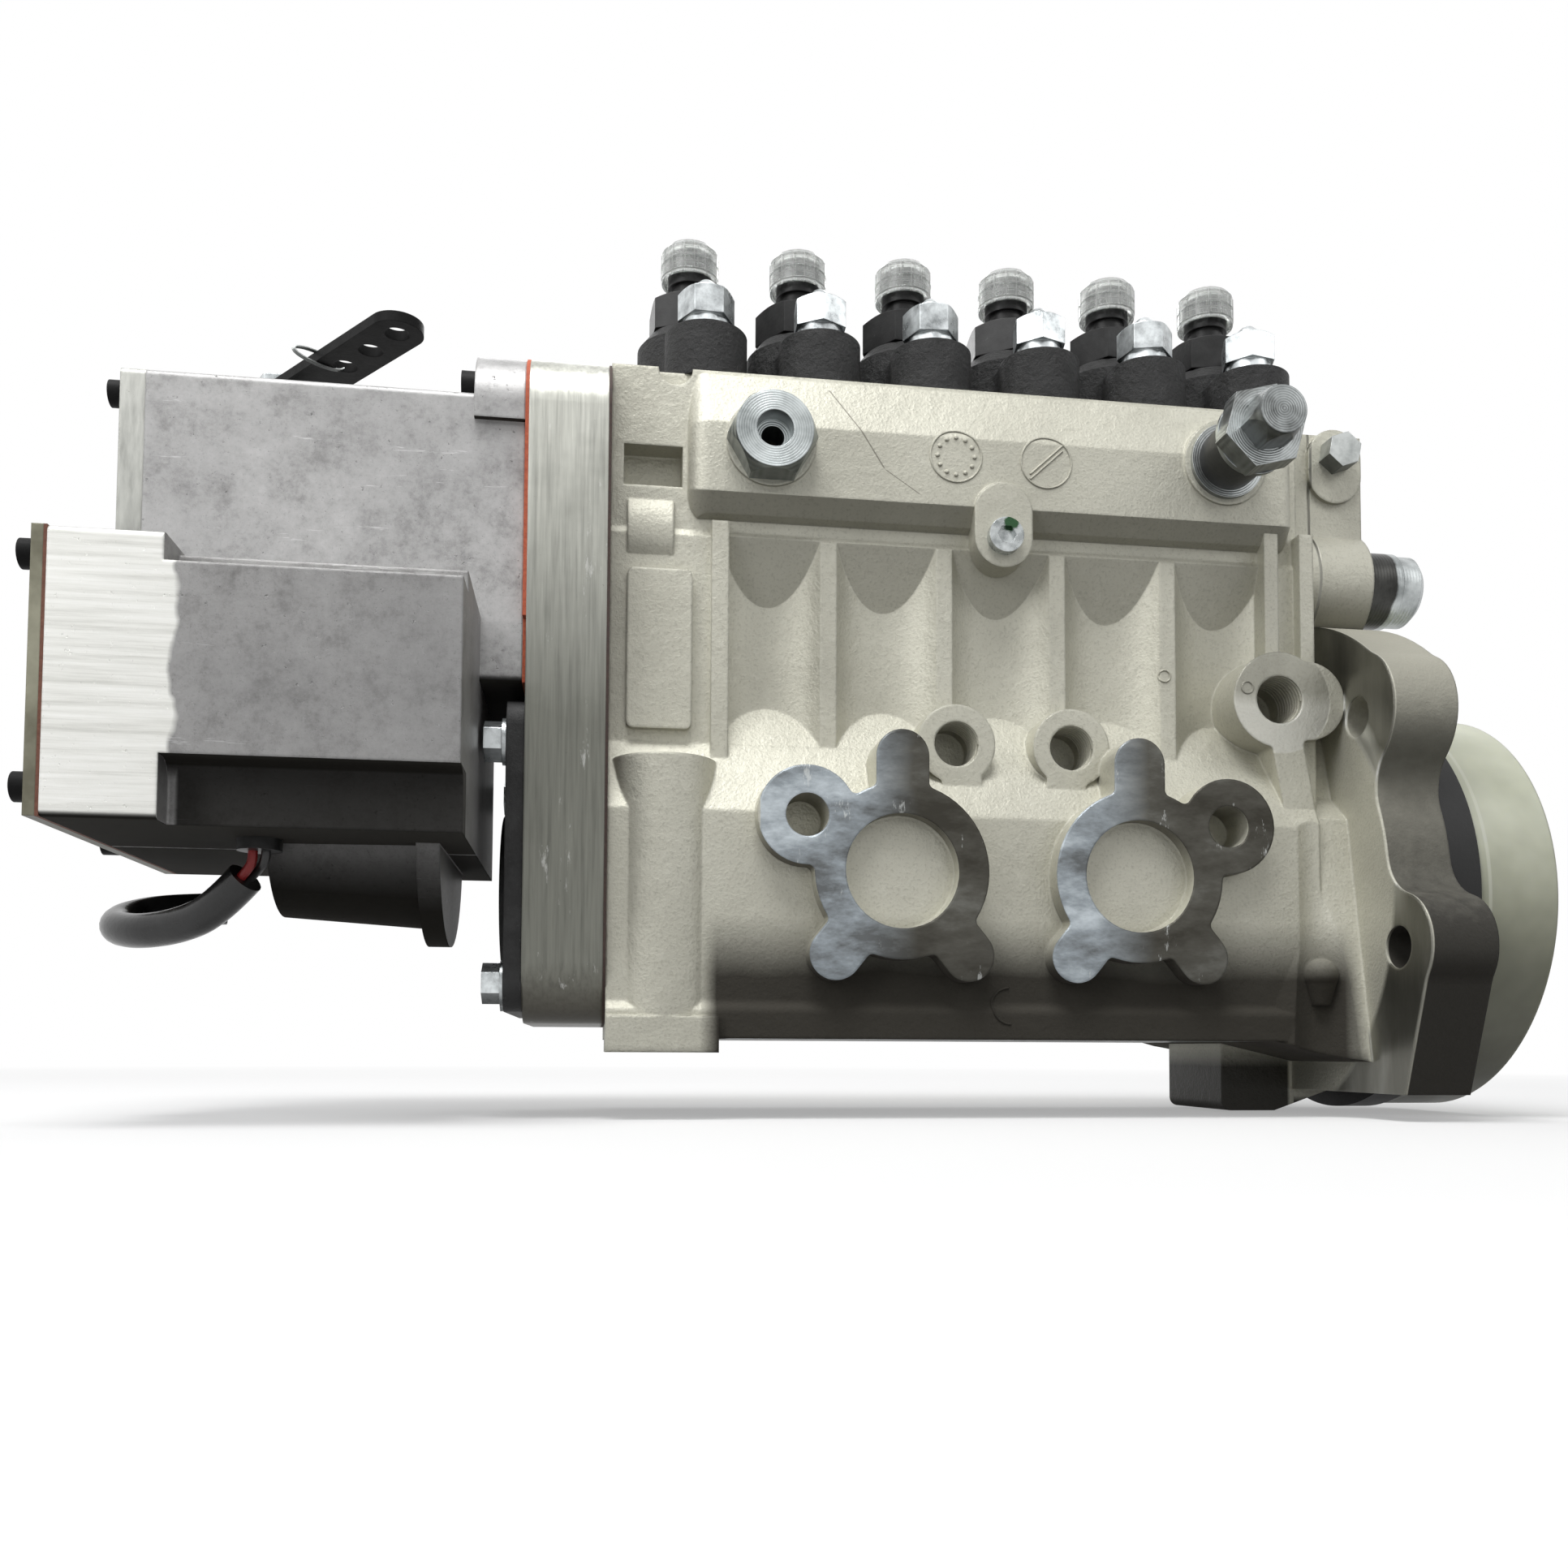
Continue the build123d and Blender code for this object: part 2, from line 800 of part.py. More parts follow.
def flare():
    # The body widens into the back of the flange
    faces = []
    for x, half in ((flare_left_x, flare_left_points), (-flange_thickness, flare_right_points)):
        points = [(x, y, z) for y, z in half] + [(x, -y, z) for y, z in reversed(half)]
        faces.append(make_face(Polyline(*points, close=True)))
    return loft(faces, ruled=True)


def corner_features():
    # Column, foot, raised panel, rack boss and rib at the governor end
    column_front = column_y - column_radius
    parts = [rod_z(column_radius, base_z, column_top_z, column_x, column_y)]
    column_right = column_x + column_radius
    foot = span_box(housing_left_x, column_right, column_front, foot_inner_y, foot_bottom_z, foot_top_z)
    parts.append(foot)
    front = -wall_half_width - panel_rise
    panel = span_box(panel_left_x, panel_right_x, front, -gallery_root_y, panel_low_z, panel_high_z)
    parts.append(fillet(panel.edges().filter_by(Axis.Y), panel_round))
    parts.append(rod_x(end_boss_radius, end_boss_left_x, end_boss_right_x, rack_y, rack_z))
    left = corner_rib_x - rib_width / 2
    right = corner_rib_x + rib_width / 2
    parts.append(span_box(left, right, front, -gallery_root_y, corner_rib_low_z, corner_rib_high_z))
    return parts


def large_boss_outline():
    x = large_boss_x
    z = large_boss_z
    shape = Pos(x, z) * Circle(large_boss_radius)
    shape += capsule(x, z, x + large_boss_arm, z, large_boss_arm_radius)
    shape += capsule(x, z, x + large_boss_arm, large_boss_leg_z, large_boss_leg_radius)
    return softened(shape, large_boss_blend)


def large_boss_ribs():
    # Two thin ribs rise from the boss into the gallery
    ribs = []
    for x, low in ((large_boss_x, large_boss_z), (large_boss_x + second_rib_shift, second_rib_low_z)):
        half = large_boss_rib_half
        front = large_boss_rib_face_y
        ribs.append(span_box(x - half, x + half, front, large_boss_back_y, low, large_boss_rib_top_z))
    return ribs


def housing_front_features():
    parts = [gallery_block()] + corner_features()
    for x, sign in zip(pad_x, (-1, 1)):
        parts.append(front_extrude(Pos(x, pad_z) * pad_outline(sign), pad_back_y, pad_face_y))
    for x, aim in zip(boss_x, (1, -1)):
        shape = capsule(x, boss_z, x + aim * boss_stem_shift, boss_stem_z, boss_stem_radius)
        shape += Pos(x, boss_z) * Circle(boss_radius)
        parts.append(front_extrude(softened(shape, pad_blend), boss_back_y, boss_face_y))
    parts.append(front_extrude(large_boss_outline(), large_boss_back_y, large_boss_face_y))
    parts += large_boss_ribs()
    top = guide_screw_z + guide_boss_rise
    shape = capsule(guide_screw_x, guide_screw_z, guide_screw_x, top, guide_boss_radius)
    parts.append(front_extrude(shape, -gallery_root_y, guide_screw_face_y))
    low = side_bolt_z - side_boss_drop
    shape = capsule(side_bolt_x, side_bolt_z, side_bolt_x, low, side_boss_radius)
    parts.append(front_extrude(shape, side_boss_back_y, side_bolt_face_y))
    for x, z in ((overflow_x, overflow_z), (inlet_x, gallery_axis_z)):
        parts.append(rod_y(port_boss_radius, -gallery_root_y, port_boss_face_y, x, z))
    parts.append(Pos(*knob_centre) * Sphere(knob_radius))
    x, y, z = knob_centre
    parts.append(cone_z(knob_radius / 2, knob_radius, z - knob_tail, z, x, y))
    parts.append(drive_foot())
    return parts


def drive_foot():
    # The underside rises gently from the foot to the bottom of the flange
    outline = [
        (drive_foot_left_x, foot_top_z),
        (drive_foot_left_x, drive_foot_bottom_z),
        (drive_foot_slope_x, drive_foot_bottom_z),
        (drive_foot_end_x, flange_bottom_z),
        (drive_foot_end_x, foot_top_z),
    ]
    face = make_face(Polyline(*outline, close=True))
    corner = face.vertices().sort_by(Axis.Y)[0:2].sort_by(Axis.X)[0]
    face = fillet(corner, drive_foot_round)
    return front_extrude(face, drive_foot_back_y, drive_foot_front_y)


def element_bores():
    cuts = []
    for x in element_xs:
        cuts.append(rod_z(tappet_radius + running_gap, 0, tappet_top_z + running_gap, x))
        cuts.append(rod_z(sleeve_body_radius + running_gap, tappet_top_z, deck_z + 1, x))
        low = rack_z + rack_slot_floor
        high = sleeve_top_z + free_gap
        left = x - sleeve_window_half
        right = x + sleeve_window_half
        cuts.append(span_box(left, right, rack_y - sleeve_window_front, sleeve_window_back_y, low, high))
    for x, y in stud_places():
        cuts.append(rod_z(stud_radius, deck_z - stud_depth, deck_z + 1, x, y))
    return cuts


def front_bores():
    cuts = []
    for x, z in ((overflow_x, overflow_z), (inlet_x, gallery_axis_z)):
        cuts.append(rod_y(port_bore_radius, port_boss_face_y - 1, -gallery_axis_y, x, z))
    for x, sign in zip(pad_x, (-1, 1)):
        cuts.append(rod_y(pad_recess_radius, pad_face_y - 1, pad_face_y + pad_recess_depth, x, pad_z))
        hole_x = x + sign * pad_hole_dx
        hole_z = pad_z + pad_hole_dz
        cuts.append(rod_y(pad_hole_radius, pad_face_y - 1, pad_face_y + pad_hole_depth, hole_x, hole_z))
    for x in boss_x:
        cuts.append(rod_y(boss_hole_radius, boss_face_y - 1, boss_face_y + boss_hole_depth, x, boss_z))
    back = large_boss_face_y + large_boss_hole_depth
    cuts.append(rod_y(large_boss_hole_radius, large_boss_face_y - 1, back, large_boss_x, large_boss_z))
    cuts.append(rod_y(guide_screw_radius, guide_screw_face_y - 1, rack_y, guide_screw_x, guide_screw_z))
    back = side_bolt_face_y + side_bolt_length
    cuts.append(rod_y(side_bolt_radius, side_bolt_face_y - 1, back, side_bolt_x, side_bolt_z))
    cuts.append(span_box(notch_left_x, notch_right_x, -through, notch_back_y, notch_low_z, notch_high_z))
    cuts.append(rod_y(deck_notch_radius, -through, deck_notch_back_y, deck_notch_x, deck_z))
    return cuts


def underside_cuts():
    top = base_z + cover_recess_depth
    cuts = [span_box(cover_left_x, cover_right_x, -cover_half_width, cover_half_width, base_z - 1, top)]
    left = cover_left_x + cover_opening_inset
    right = cover_right_x - cover_opening_inset
    half = cover_half_width - cover_opening_inset
    cuts.append(span_box(left, right, -half, half, base_z, cover_opening_top_z))
    for x, y in base_screw_places():
        cuts.append(rod_z(base_screw_radius, base_z, base_z + base_screw_length, x, y))
    top = foot_bottom_z + foot_hole_depth
    cuts.append(rod_z(foot_hole_radius, foot_bottom_z - 1, top, column_x, column_y))
    return cuts


def housing_bores():
    cuts = [rod_x(tunnel_radius, housing_left_x - 1, 1)]
    cuts.append(rod_x(retainer_spigot_radius, -retainer_spigot_length, 1))
    cuts.append(rod_x(pilot_radius + pilot_relief_gap, -pilot_relief_depth, 1))
    cuts.append(rod_x(rack_radius + running_gap, housing_left_x - 1, 5, rack_y, rack_z))
    left = gallery_left_x + gallery_end_wall
    right = gallery_right_x - gallery_end_wall
    cuts.append(rod_x(gallery_bore_radius, left, right, -gallery_axis_y, gallery_axis_z))
    for side in (-1, 1):
        cuts.append(rod_x(flange_hole_radius, -2 * flange_thickness, 1, side * upper_hole_y, upper_hole_z))
        cuts.append(rod_x(flange_hole_radius, -2 * flange_thickness, 1, side * lower_hole_y, lower_hole_z))
    return cuts + element_bores() + front_bores() + underside_cuts()


def base_screw_places():
    start = cover_left_x + base_screw_inset
    step = (cover_right_x - base_screw_inset - start) / (base_screw_columns - 1)
    y = cover_half_width - base_screw_inset
    return [(start + step * i, side * y) for i in range(base_screw_columns) for side in (-1, 1)]


def pump_housing():
    body = housing_outside()
    for piece in housing_front_features():
        body += piece
    for cut in housing_bores():
        body -= cut
    return body


# Base cover


def base_cover():
    top = base_z + cover_recess_depth
    half = cover_half_width
    plate = span_box(cover_left_x, cover_right_x, -half, half, base_z, top)
    head_top = base_z + base_screw_head_height
    for x, y in base_screw_places():
        plate -= rod_z(base_screw_radius, base_z - 1, top + 1, x, y)
        plate -= cone_z(base_screw_head_radius, base_screw_radius, base_z, head_top, x, y)
    return plate


def base_screws():
    screws = []
    head_top = base_z + base_screw_head_height
    for x, y in base_screw_places():
        screw = rod_z(base_screw_radius, head_top, base_z + base_screw_length, x, y)
        screw += cone_z(base_screw_head_radius, base_screw_radius, base_z, head_top, x, y)
        socket = Pos(x, y, base_z) * hexagon(base_screw_socket, base_screw_socket_depth)
        screws.append(screw - socket)
    return group(screws)


# Governor end plates


def plate_screw_places():
    return list(plate_bolt_places)


def end_sheet(x0, x1):
    sheet = rounded_plate(plate_half_width, plate_bottom_z, plate_top_z, plate_corner_radius, x0, x1)
    sheet -= rod_x(tunnel_radius, x0 - 1, x1 + 1)
    sheet -= rod_x(rack_passage_radius, x0 - 1, x1 + 1, rack_y, rack_z)
    return sheet


def housing_gasket():
    return end_sheet(plate_right_x, housing_left_x)


def adapter_plate():
    plate = end_sheet(plate_left_x, plate_right_x)
    for y, z in plate_screw_places() + governor_ear_places():
        plate -= rod_x(plate_screw_radius, plate_left_x - 1, plate_left_x + plate_screw_depth, y, z)
    return plate


def governor_ear_places():
    return [(-ear_screw_y, ear_screw_z), (ear_screw_y, ear_screw_z)]


def governor_gasket():
    left = governor_right_x
    right = plate_left_x
    low = governor_bottom_z
    sheet = rounded_plate(plate_half_width, low, plate_top_z, plate_corner_radius, left, right)
    sheet -= span_box(left - 1, right + 1, -through, through, low - 1, low + plate_corner_radius)
    sheet += span_box(left, right, -governor_half_width, governor_half_width, low, ear_low_z)
    sheet -= governor_cavity()
    for y, z in governor_ear_places():
        sheet -= rod_x(plate_screw_radius, left - 1, right + 1, y, z)
    return sheet


def governor_cavity():
    half = governor_half_width - governor_wall
    high = governor_top_z - governor_wall
    low = governor_bottom_z + governor_wall
    return span_box(governor_left_x - 1, plate_left_x, -half, half, low, high)


def governor_cover_places():
    y = governor_half_width - cover_screw_inset
    heights = (cover_low_screw_z, governor_top_z - cover_screw_inset)
    return [(side * y, z) for side in (-1, 1) for z in heights]


def governor_housing():
    half = governor_half_width
    box = span_box(governor_left_x, governor_right_x, -half, half, governor_bottom_z, governor_top_z)
    body = fillet(box.edges().filter_by(Axis.X), governor_round)
    ear_left = governor_right_x - governor_ear_thickness
    ear_half = plate_half_width - ear_edge_inset
    ear = rounded_plate(ear_half, ear_low_z, plate_top_z, plate_corner_radius, ear_left, governor_right_x)
    ear -= span_box(ear_left - 1, governor_right_x + 1, -through, through, 0, governor_top_z - ear_overlap)
    body += ear
    body -= governor_cavity()
    for y, z in governor_ear_places():
        body -= rod_x(plate_screw_radius, ear_left - 1, governor_right_x + 1, y, z)
    for y, z in governor_cover_places():
        body -= rod_x(small_screw_radius, governor_left_x - 1, governor_left_x + small_screw_length, y, z)
    seat_low = governor_top_z - bushing_seat_depth
    body -= rod_z(lever_bushing_radius, seat_low, governor_top_z + 1, lever_x, lever_y)
    return body - arm_window()


def arm_window():
    # Slot through which the actuator arm reaches the rack
    half = arm_window_half
    front = arm_front_y - arm_window_gap
    back = arm_back_y + arm_window_gap
    high = governor_bottom_z + governor_wall + 1
    return span_box(motor_x - half, motor_x + half, front, back, arm_window_low_z, high)


def governor_cover():
    left = governor_left_x - governor_cover_thickness
    half = governor_half_width
    plate = span_box(left, governor_left_x, -half, half, cover_low_z, governor_top_z)
    plate = fillet(plate.edges().filter_by(Axis.X), governor_round)
    for y, z in governor_cover_places():
        plate -= rod_x(small_screw_radius, left - 1, governor_left_x + 1, y, z)
    return plate


def governor_cover_screws():
    left = governor_left_x - governor_cover_thickness
    length = governor_cover_thickness + small_screw_length
    return group([small_socket_screw(length, left, y, z) for y, z in governor_cover_places()])


def governor_flange_screws():
    left = governor_right_x - governor_ear_thickness
    screws = []
    for y, z in governor_ear_places():
        length = governor_ear_thickness + governor_gasket_thickness + plate_screw_depth
        screws.append(socket_screw_left(plate_screw_radius, ear_screw_head_radius, ear_screw_head_height,
                                        length, left, y, z))
    return group(screws)


# Camshaft end cover


def shaft_cover():
    left = plate_left_x - shaft_cover_thickness
    half = shaft_cover_half_width
    low = shaft_cover_bottom_z
    plate = rounded_plate(half, low, shaft_cover_top_z, shaft_cover_corner, left, plate_left_x)
    plate += rod_x(shaft_cover_hub_radius, left - shaft_cover_hub_height, plate_left_x)
    for y, z in plate_screw_places():
        plate -= rod_x(plate_screw_radius, left - 1, plate_left_x + 1, y, z)
    return plate


def shaft_cover_screws():
    left = plate_left_x - shaft_cover_thickness
    head_right = left - plate_bolt_washer_thickness
    head_left = head_right - plate_bolt_head_height
    screws = []
    for y, z in plate_screw_places():
        shank = rod_x(plate_screw_radius, left, plate_left_x + plate_screw_depth, y, z)
        washer = rod_x(plate_bolt_washer_radius, head_right, left, y, z)
        head = Pos(head_left, y, z) * Rot(0, 90, 0) * hexagon(plate_bolt_flats, plate_bolt_head_height)
        screws.append(shank + washer + head)
    return group(screws)


# Actuator


def actuator_block():
    left = actuator_left_x
    right = actuator_right_x
    front = actuator_front_y
    high = actuator_top_z
    block = span_box(left, right, front, actuator_split_y, actuator_bottom_z, high)
    block = fillet(block.edges().filter_by(Axis.X), actuator_round)
    step_back = front + actuator_step_depth
    block -= span_box(actuator_step_x, right + 1, front - 1, step_back, high - actuator_step_drop, high + 1)
    block -= span_box(actuator_step_x, right + 1, front, 0, high - actuator_top_drop, high + 1)
    groove_back = front + actuator_groove_depth
    groove = span_box(actuator_step_x, right + 1, front - 1, groove_back, 0, actuator_groove_top_z)
    corner = groove.edges().filter_by(Axis.X)
    corner = corner.filter_by_position(Axis.Y, groove_back - 0.1, groove_back + 0.1)
    corner = corner.filter_by_position(Axis.Z, actuator_groove_top_z - 0.1, actuator_groove_top_z + 0.1)
    return block - fillet(corner, actuator_groove_round)


def actuator_cup():
    # Upper half missing: only the lower half of the round hangs under the box
    cup = cone_x(cup_left_radius, cup_right_radius, cup_left_x, cup_right_x, cup_y, cup_z)
    cup += rod_x(cup_rim_radius, cup_right_x - cup_rim_width, cup_right_x, cup_y, cup_z)
    return cup & span_box(cup_left_x, cup_right_x, -through, through, -through, cup_z)


def actuator_housing():
    under = span_box(actuator_left_x, actuator_right_x, actuator_split_y, actuator_back_y,
                     actuator_bottom_z, governor_bottom_z)
    body = actuator_block() + under + actuator_cup()
    body -= actuator_cavity()
    gland_top = actuator_bottom_z + actuator_wall
    body -= rod_z(gland_radius, actuator_bottom_z - 1, gland_top + 1, gland_x, gland_y)
    shaft_hole = motor_shaft_radius + running_gap
    body -= rod_y(shaft_hole, motor_room_back_y - 1, arm_room_front_y + 1, motor_x, motor_z)
    body -= arm_window()
    for y, z in actuator_cover_places():
        body -= rod_x(small_screw_radius, actuator_left_x - 1, actuator_left_x + actuator_screw_depth, y, z)
    return body


def actuator_cavity():
    wall = actuator_wall
    left = actuator_left_x - 1
    right = actuator_right_x - wall
    low = actuator_bottom_z + wall
    inset = motor_room_inset
    front = span_box(left, right, actuator_front_y + inset, motor_room_back_y, low, actuator_top_z - inset)
    back = span_box(left, right, arm_room_front_y, actuator_back_y - wall, low, governor_bottom_z - wall)
    return front + back


def actuator_cover_places():
    return list(actuator_screw_places)


def actuator_sheet(x0, x1):
    split = actuator_split_y - sheet_step
    points = [
        (actuator_front_y, actuator_bottom_z),
        (actuator_front_y, actuator_top_z),
        (split, actuator_top_z),
        (split, governor_bottom_z),
        (actuator_back_y, governor_bottom_z),
        (actuator_back_y, actuator_bottom_z),
    ]
    sheet = yz_prism(points, x0, x1)
    for y, z in actuator_cover_places():
        sheet -= rod_x(small_screw_radius, x0 - 1, x1 + 1, y, z)
    return sheet


def actuator_gasket():
    sheet = actuator_sheet(actuator_left_x - actuator_gasket_thickness, actuator_left_x)
    return sheet - actuator_cavity()


def actuator_cover():
    right = actuator_left_x - actuator_gasket_thickness
    return actuator_sheet(right - actuator_cover_thickness, right)


def actuator_cover_screws():
    left = actuator_left_x - actuator_gasket_thickness - actuator_cover_thickness
    length = actuator_gasket_thickness + actuator_cover_thickness + actuator_screw_depth
    return group([small_socket_screw(length, left, y, z) for y, z in actuator_cover_places()])


def actuator_stator():
    front = actuator_front_y + motor_room_inset
    back = motor_room_back_y
    ring = rod_y(stator_outer_radius, front, back, motor_x, motor_z)
    ring -= rod_y(rotor_radius + free_gap, front + stator_end_wall, back + 1, motor_x, motor_z)
    return ring - rod_y(motor_shaft_radius + running_gap, front - 1, back + 1, motor_x, motor_z)


def actuator_rotor():
    rotor = rod_y(motor_shaft_radius, motor_shaft_front_y, motor_shaft_back_y, motor_x, motor_z)
    rotor += rod_y(rotor_radius, rotor_front_y + rotor_front_gap, rotor_back_y, motor_x, motor_z)
    front = arm_front_y
    back = arm_back_y
    rotor += rod_y(arm_hub_radius, front, back, motor_x, motor_z)
    half = arm_half_width
    rotor += span_box(motor_x - half, motor_x + half, front, back, motor_z, rack_z - fork_root + half)
    half = fork_half_width
    fork = span_box(motor_x - half, motor_x + half, front, back, rack_z - fork_root, rack_z + fork_rise)
    half = fork_pin_radius + free_gap
    low = rack_z - fork_depth
    fork -= span_box(motor_x - half, motor_x + half, front - 1, back + 1, low, rack_z + fork_rise + 1)
    return rotor + fork


# Camshaft and its bearings


def drive_bearing_span():
    return drive_bearing_right_x - bearing_width, drive_bearing_right_x


def rear_bearing_span():
    left = plate_left_x + rear_bearing_inset
    return left, left + bearing_width


def camshaft():
    rear_left, rear_right = rear_bearing_span()
    drive_left, drive_right = drive_bearing_span()
    shaft = rod_x(shaft_radius, rear_left, drive_left)
    shaft += rod_x(journal_radius, rear_left, rear_right)
    shaft += rod_x(journal_radius, drive_left, drive_right)
    shaft += rod_x(journal_radius, drive_right, taper_start_x)
    taper_large = journal_radius - taper_step
    shaft += cone_x(taper_large, taper_small_radius, taper_start_x, taper_start_x + taper_length)
    shaft += rod_x(thread_radius, taper_start_x + taper_length, shaft_end_x)
    for x, angle in zip(element_xs, firing_angles):
        nose = lobe_base_radius + lobe_lift - lobe_nose_radius
        ny = nose * math.sin(math.radians(angle))
        nz = nose * math.cos(math.radians(angle))
        lobe = make_hull([Circle(lobe_base_radius).edge(), (Pos(ny, nz) * Circle(lobe_nose_radius)).edge()])
        shaft += side_extrude(lobe, x - lobe_width / 2, x + lobe_width / 2)
    shaft -= key_slot()
    return shaft


def key_slot():
    left = taper_start_x + key_slot_inset
    half = key_width / 2
    return span_box(left, left + key_length, -half, half, taper_small_radius - key_depth, journal_radius)


def drive_key():
    return key_slot()


def bearing_rings(inner, outer):
    rings = []
    for left, right in (rear_bearing_span(), drive_bearing_span()):
        rings.append(rod_x(outer, left, right) - rod_x(inner, left - 1, right + 1))
    return group(rings)


def bearing_inner_rings():
    return bearing_rings(journal_radius, journal_radius + bearing_ring)


def bearing_outer_rings():
    return bearing_rings(tunnel_radius - bearing_ring, tunnel_radius)


def bearing_rollers():
    inner = journal_radius + bearing_ring
    outer = tunnel_radius - bearing_ring
    radius = (outer - inner) / 2 - running_gap
    middle = (outer + inner) / 2
    rollers = []
    for left, right in (rear_bearing_span(), drive_bearing_span()):
        for i in range(roller_count):
            angle = math.radians(360 * i / roller_count)
            y = middle * math.sin(angle)
            z = middle * math.cos(angle)
            rollers.append(rod_x(radius, left + roller_end_gap, right - roller_end_gap, y, z))
    return group(rollers)


def bearing_retainer():
    end = pilot_length + cap_seat_length
    body = rod_x(pilot_radius, 0, pilot_length)
    body += rod_x(retainer_shoulder_radius, -pilot_relief_depth, 0)
    body += rod_x(cap_seat_radius, pilot_length, end)
    body += rod_x(retainer_spigot_radius, -retainer_spigot_length, 0)
    body -= rod_x(tunnel_radius, -retainer_spigot_length - 1, drive_bearing_right_x)
    body -= rod_x(seal_outer_radius, 0, end + 1)
    body -= pilot_ring()
    return body


def pilot_ring():
    half = pilot_ring_half_width
    ring = rod_x(pilot_radius - running_gap, pilot_groove_x - half, pilot_groove_x + half)
    inner = pilot_radius - pilot_ring_depth
    return ring - rod_x(inner, pilot_groove_x - half - 1, pilot_groove_x + half + 1)


def oil_seal():
    left = drive_bearing_right_x + seal_gap
    seal = rod_x(seal_outer_radius, left, pilot_length)
    return seal - rod_x(journal_radius + running_gap, left - 1, pilot_length + 1)


def drive_cap():
    inside_end = drive_cap_end_x - drive_cap_wall
    hollow = rod_x(cap_seat_radius, pilot_length, inside_end)
    skirt = rod_x(drive_cap_radius, pilot_length + free_gap, drive_cap_end_x)
    lip_left = drive_cap_end_x - drive_cap_lip
    lip_right = drive_cap_end_x + drive_cap_rim_rise
    lip = rod_x(drive_cap_radius, lip_left, lip_right)
    lip -= rod_x(drive_cap_radius - drive_cap_rim_width, lip_left - 1, lip_right + 1)
    return skirt + lip - hollow


# Elements


def tappets():
    solids = []
    half = roller_width / 2 + free_gap
    slot_top = tappet_roller_z + roller_radius + free_gap
    for x in element_xs:
        body = rod_z(tappet_radius, tappet_bottom_z, tappet_top_z, x)
        body -= span_box(x - half, x + half, -through, through, tappet_bottom_z - 1, slot_top)
        body -= rod_x(roller_pin_radius, x - tappet_radius, x + tappet_radius, 0, tappet_roller_z)
        solids.append(body)
    return group(solids)


def tappet_rollers():
    solids = []
    for x in element_xs:
        wheel = rod_x(roller_radius, x - roller_width / 2, x + roller_width / 2, 0, tappet_roller_z)
        half = roller_pin_length / 2
        wheel += rod_x(roller_pin_radius, x - half, x + half, 0, tappet_roller_z)
        solids.append(wheel)
    return group(solids)


def plunger_springs():
    solids = []
    for x in element_xs:
        coil = rod_z(spring_outer_radius, tappet_top_z, spring_plate_bottom_z, x)
        coil -= rod_z(spring_inner_radius, tappet_top_z - 1, spring_plate_bottom_z + 1, x)
        solids.append(coil)
    return group(solids)


def spring_plates():
    solids = []
    for x in element_xs:
        plate = rod_z(sleeve_body_radius, spring_plate_bottom_z, barrel_bottom_z, x)
        plate -= rod_z(plunger_radius + free_gap, 0, deck_z, x)
        solids.append(plate)
    return group(solids)


def plungers():
    solids = []
    foot_top = tappet_top_z + plunger_foot_height
    for x in element_xs:
        stem = rod_z(plunger_radius, foot_top, barrel_top_z - plunger_tip_drop, x)
        stem += rod_z(plunger_foot_radius, tappet_top_z, foot_top, x)
        solids.append(stem)
    return group(solids)


def barrels():
    solids = []
    for x in element_xs:
        body = rod_z(barrel_skirt_radius, barrel_bottom_z, barrel_shoulder_z, x)
        body += rod_z(barrel_body_radius, barrel_shoulder_z, barrel_top_z, x)
        body -= rod_z(plunger_radius + running_gap, barrel_bottom_z - 1, barrel_top_z + 1, x)
        solids.append(body)
    return group(solids)


def control_sleeve(x):
    ring = rod_z(sleeve_outer_radius, sleeve_bottom_z, sleeve_top_z, x)
    ring -= rod_z(barrel_skirt_radius + running_gap, sleeve_bottom_z - 1, sleeve_top_z + 1, x)
    arm_low = rack_z + rack_radius + free_gap
    pin_bottom = rack_z + rack_slot_floor + free_gap
    half = arm_width / 2
    arm = span_box(x - half, x + half, rack_y, -sleeve_outer_radius + arm_root, arm_low, sleeve_top_z)
    return ring + arm + rod_z(pin_radius, pin_bottom, sleeve_top_z, x, rack_y)


def control_rack():
    bar = rod_x(rack_radius, rack_left_x, rack_right_x, rack_y, rack_z)
    half = pin_radius + free_gap
    for x in element_xs:
        bar -= span_box(x - half, x + half, rack_y - through, 0, rack_z + rack_slot_floor, rack_z + through)
    # The bar is cut away around the fork and a cheek in front of it carries the fork pin
    half = bridge_gap_half
    bar -= span_box(motor_x - half, motor_x + half, -through, 0, 0, deck_z)
    half = bridge_half
    front = rack_y - rack_radius - bridge_rise
    back = arm_front_y - free_gap
    low = rack_z - bridge_half_height
    high = rack_z + bridge_half_height
    bar += span_box(motor_x - half, motor_x + half, front, back, low, high)
    return bar + rod_y(fork_pin_radius, back - 1, arm_back_y, motor_x, rack_z)


def delivery_flange_outline():
    outline = Circle(collar_radius)
    for sign in (-1, 1):
        lobe = Pos(-sign * stud_dx, -sign * stud_dy) * Circle(stud_lobe_radius)
        outline += lobe
    return softened(outline, collar_blend)


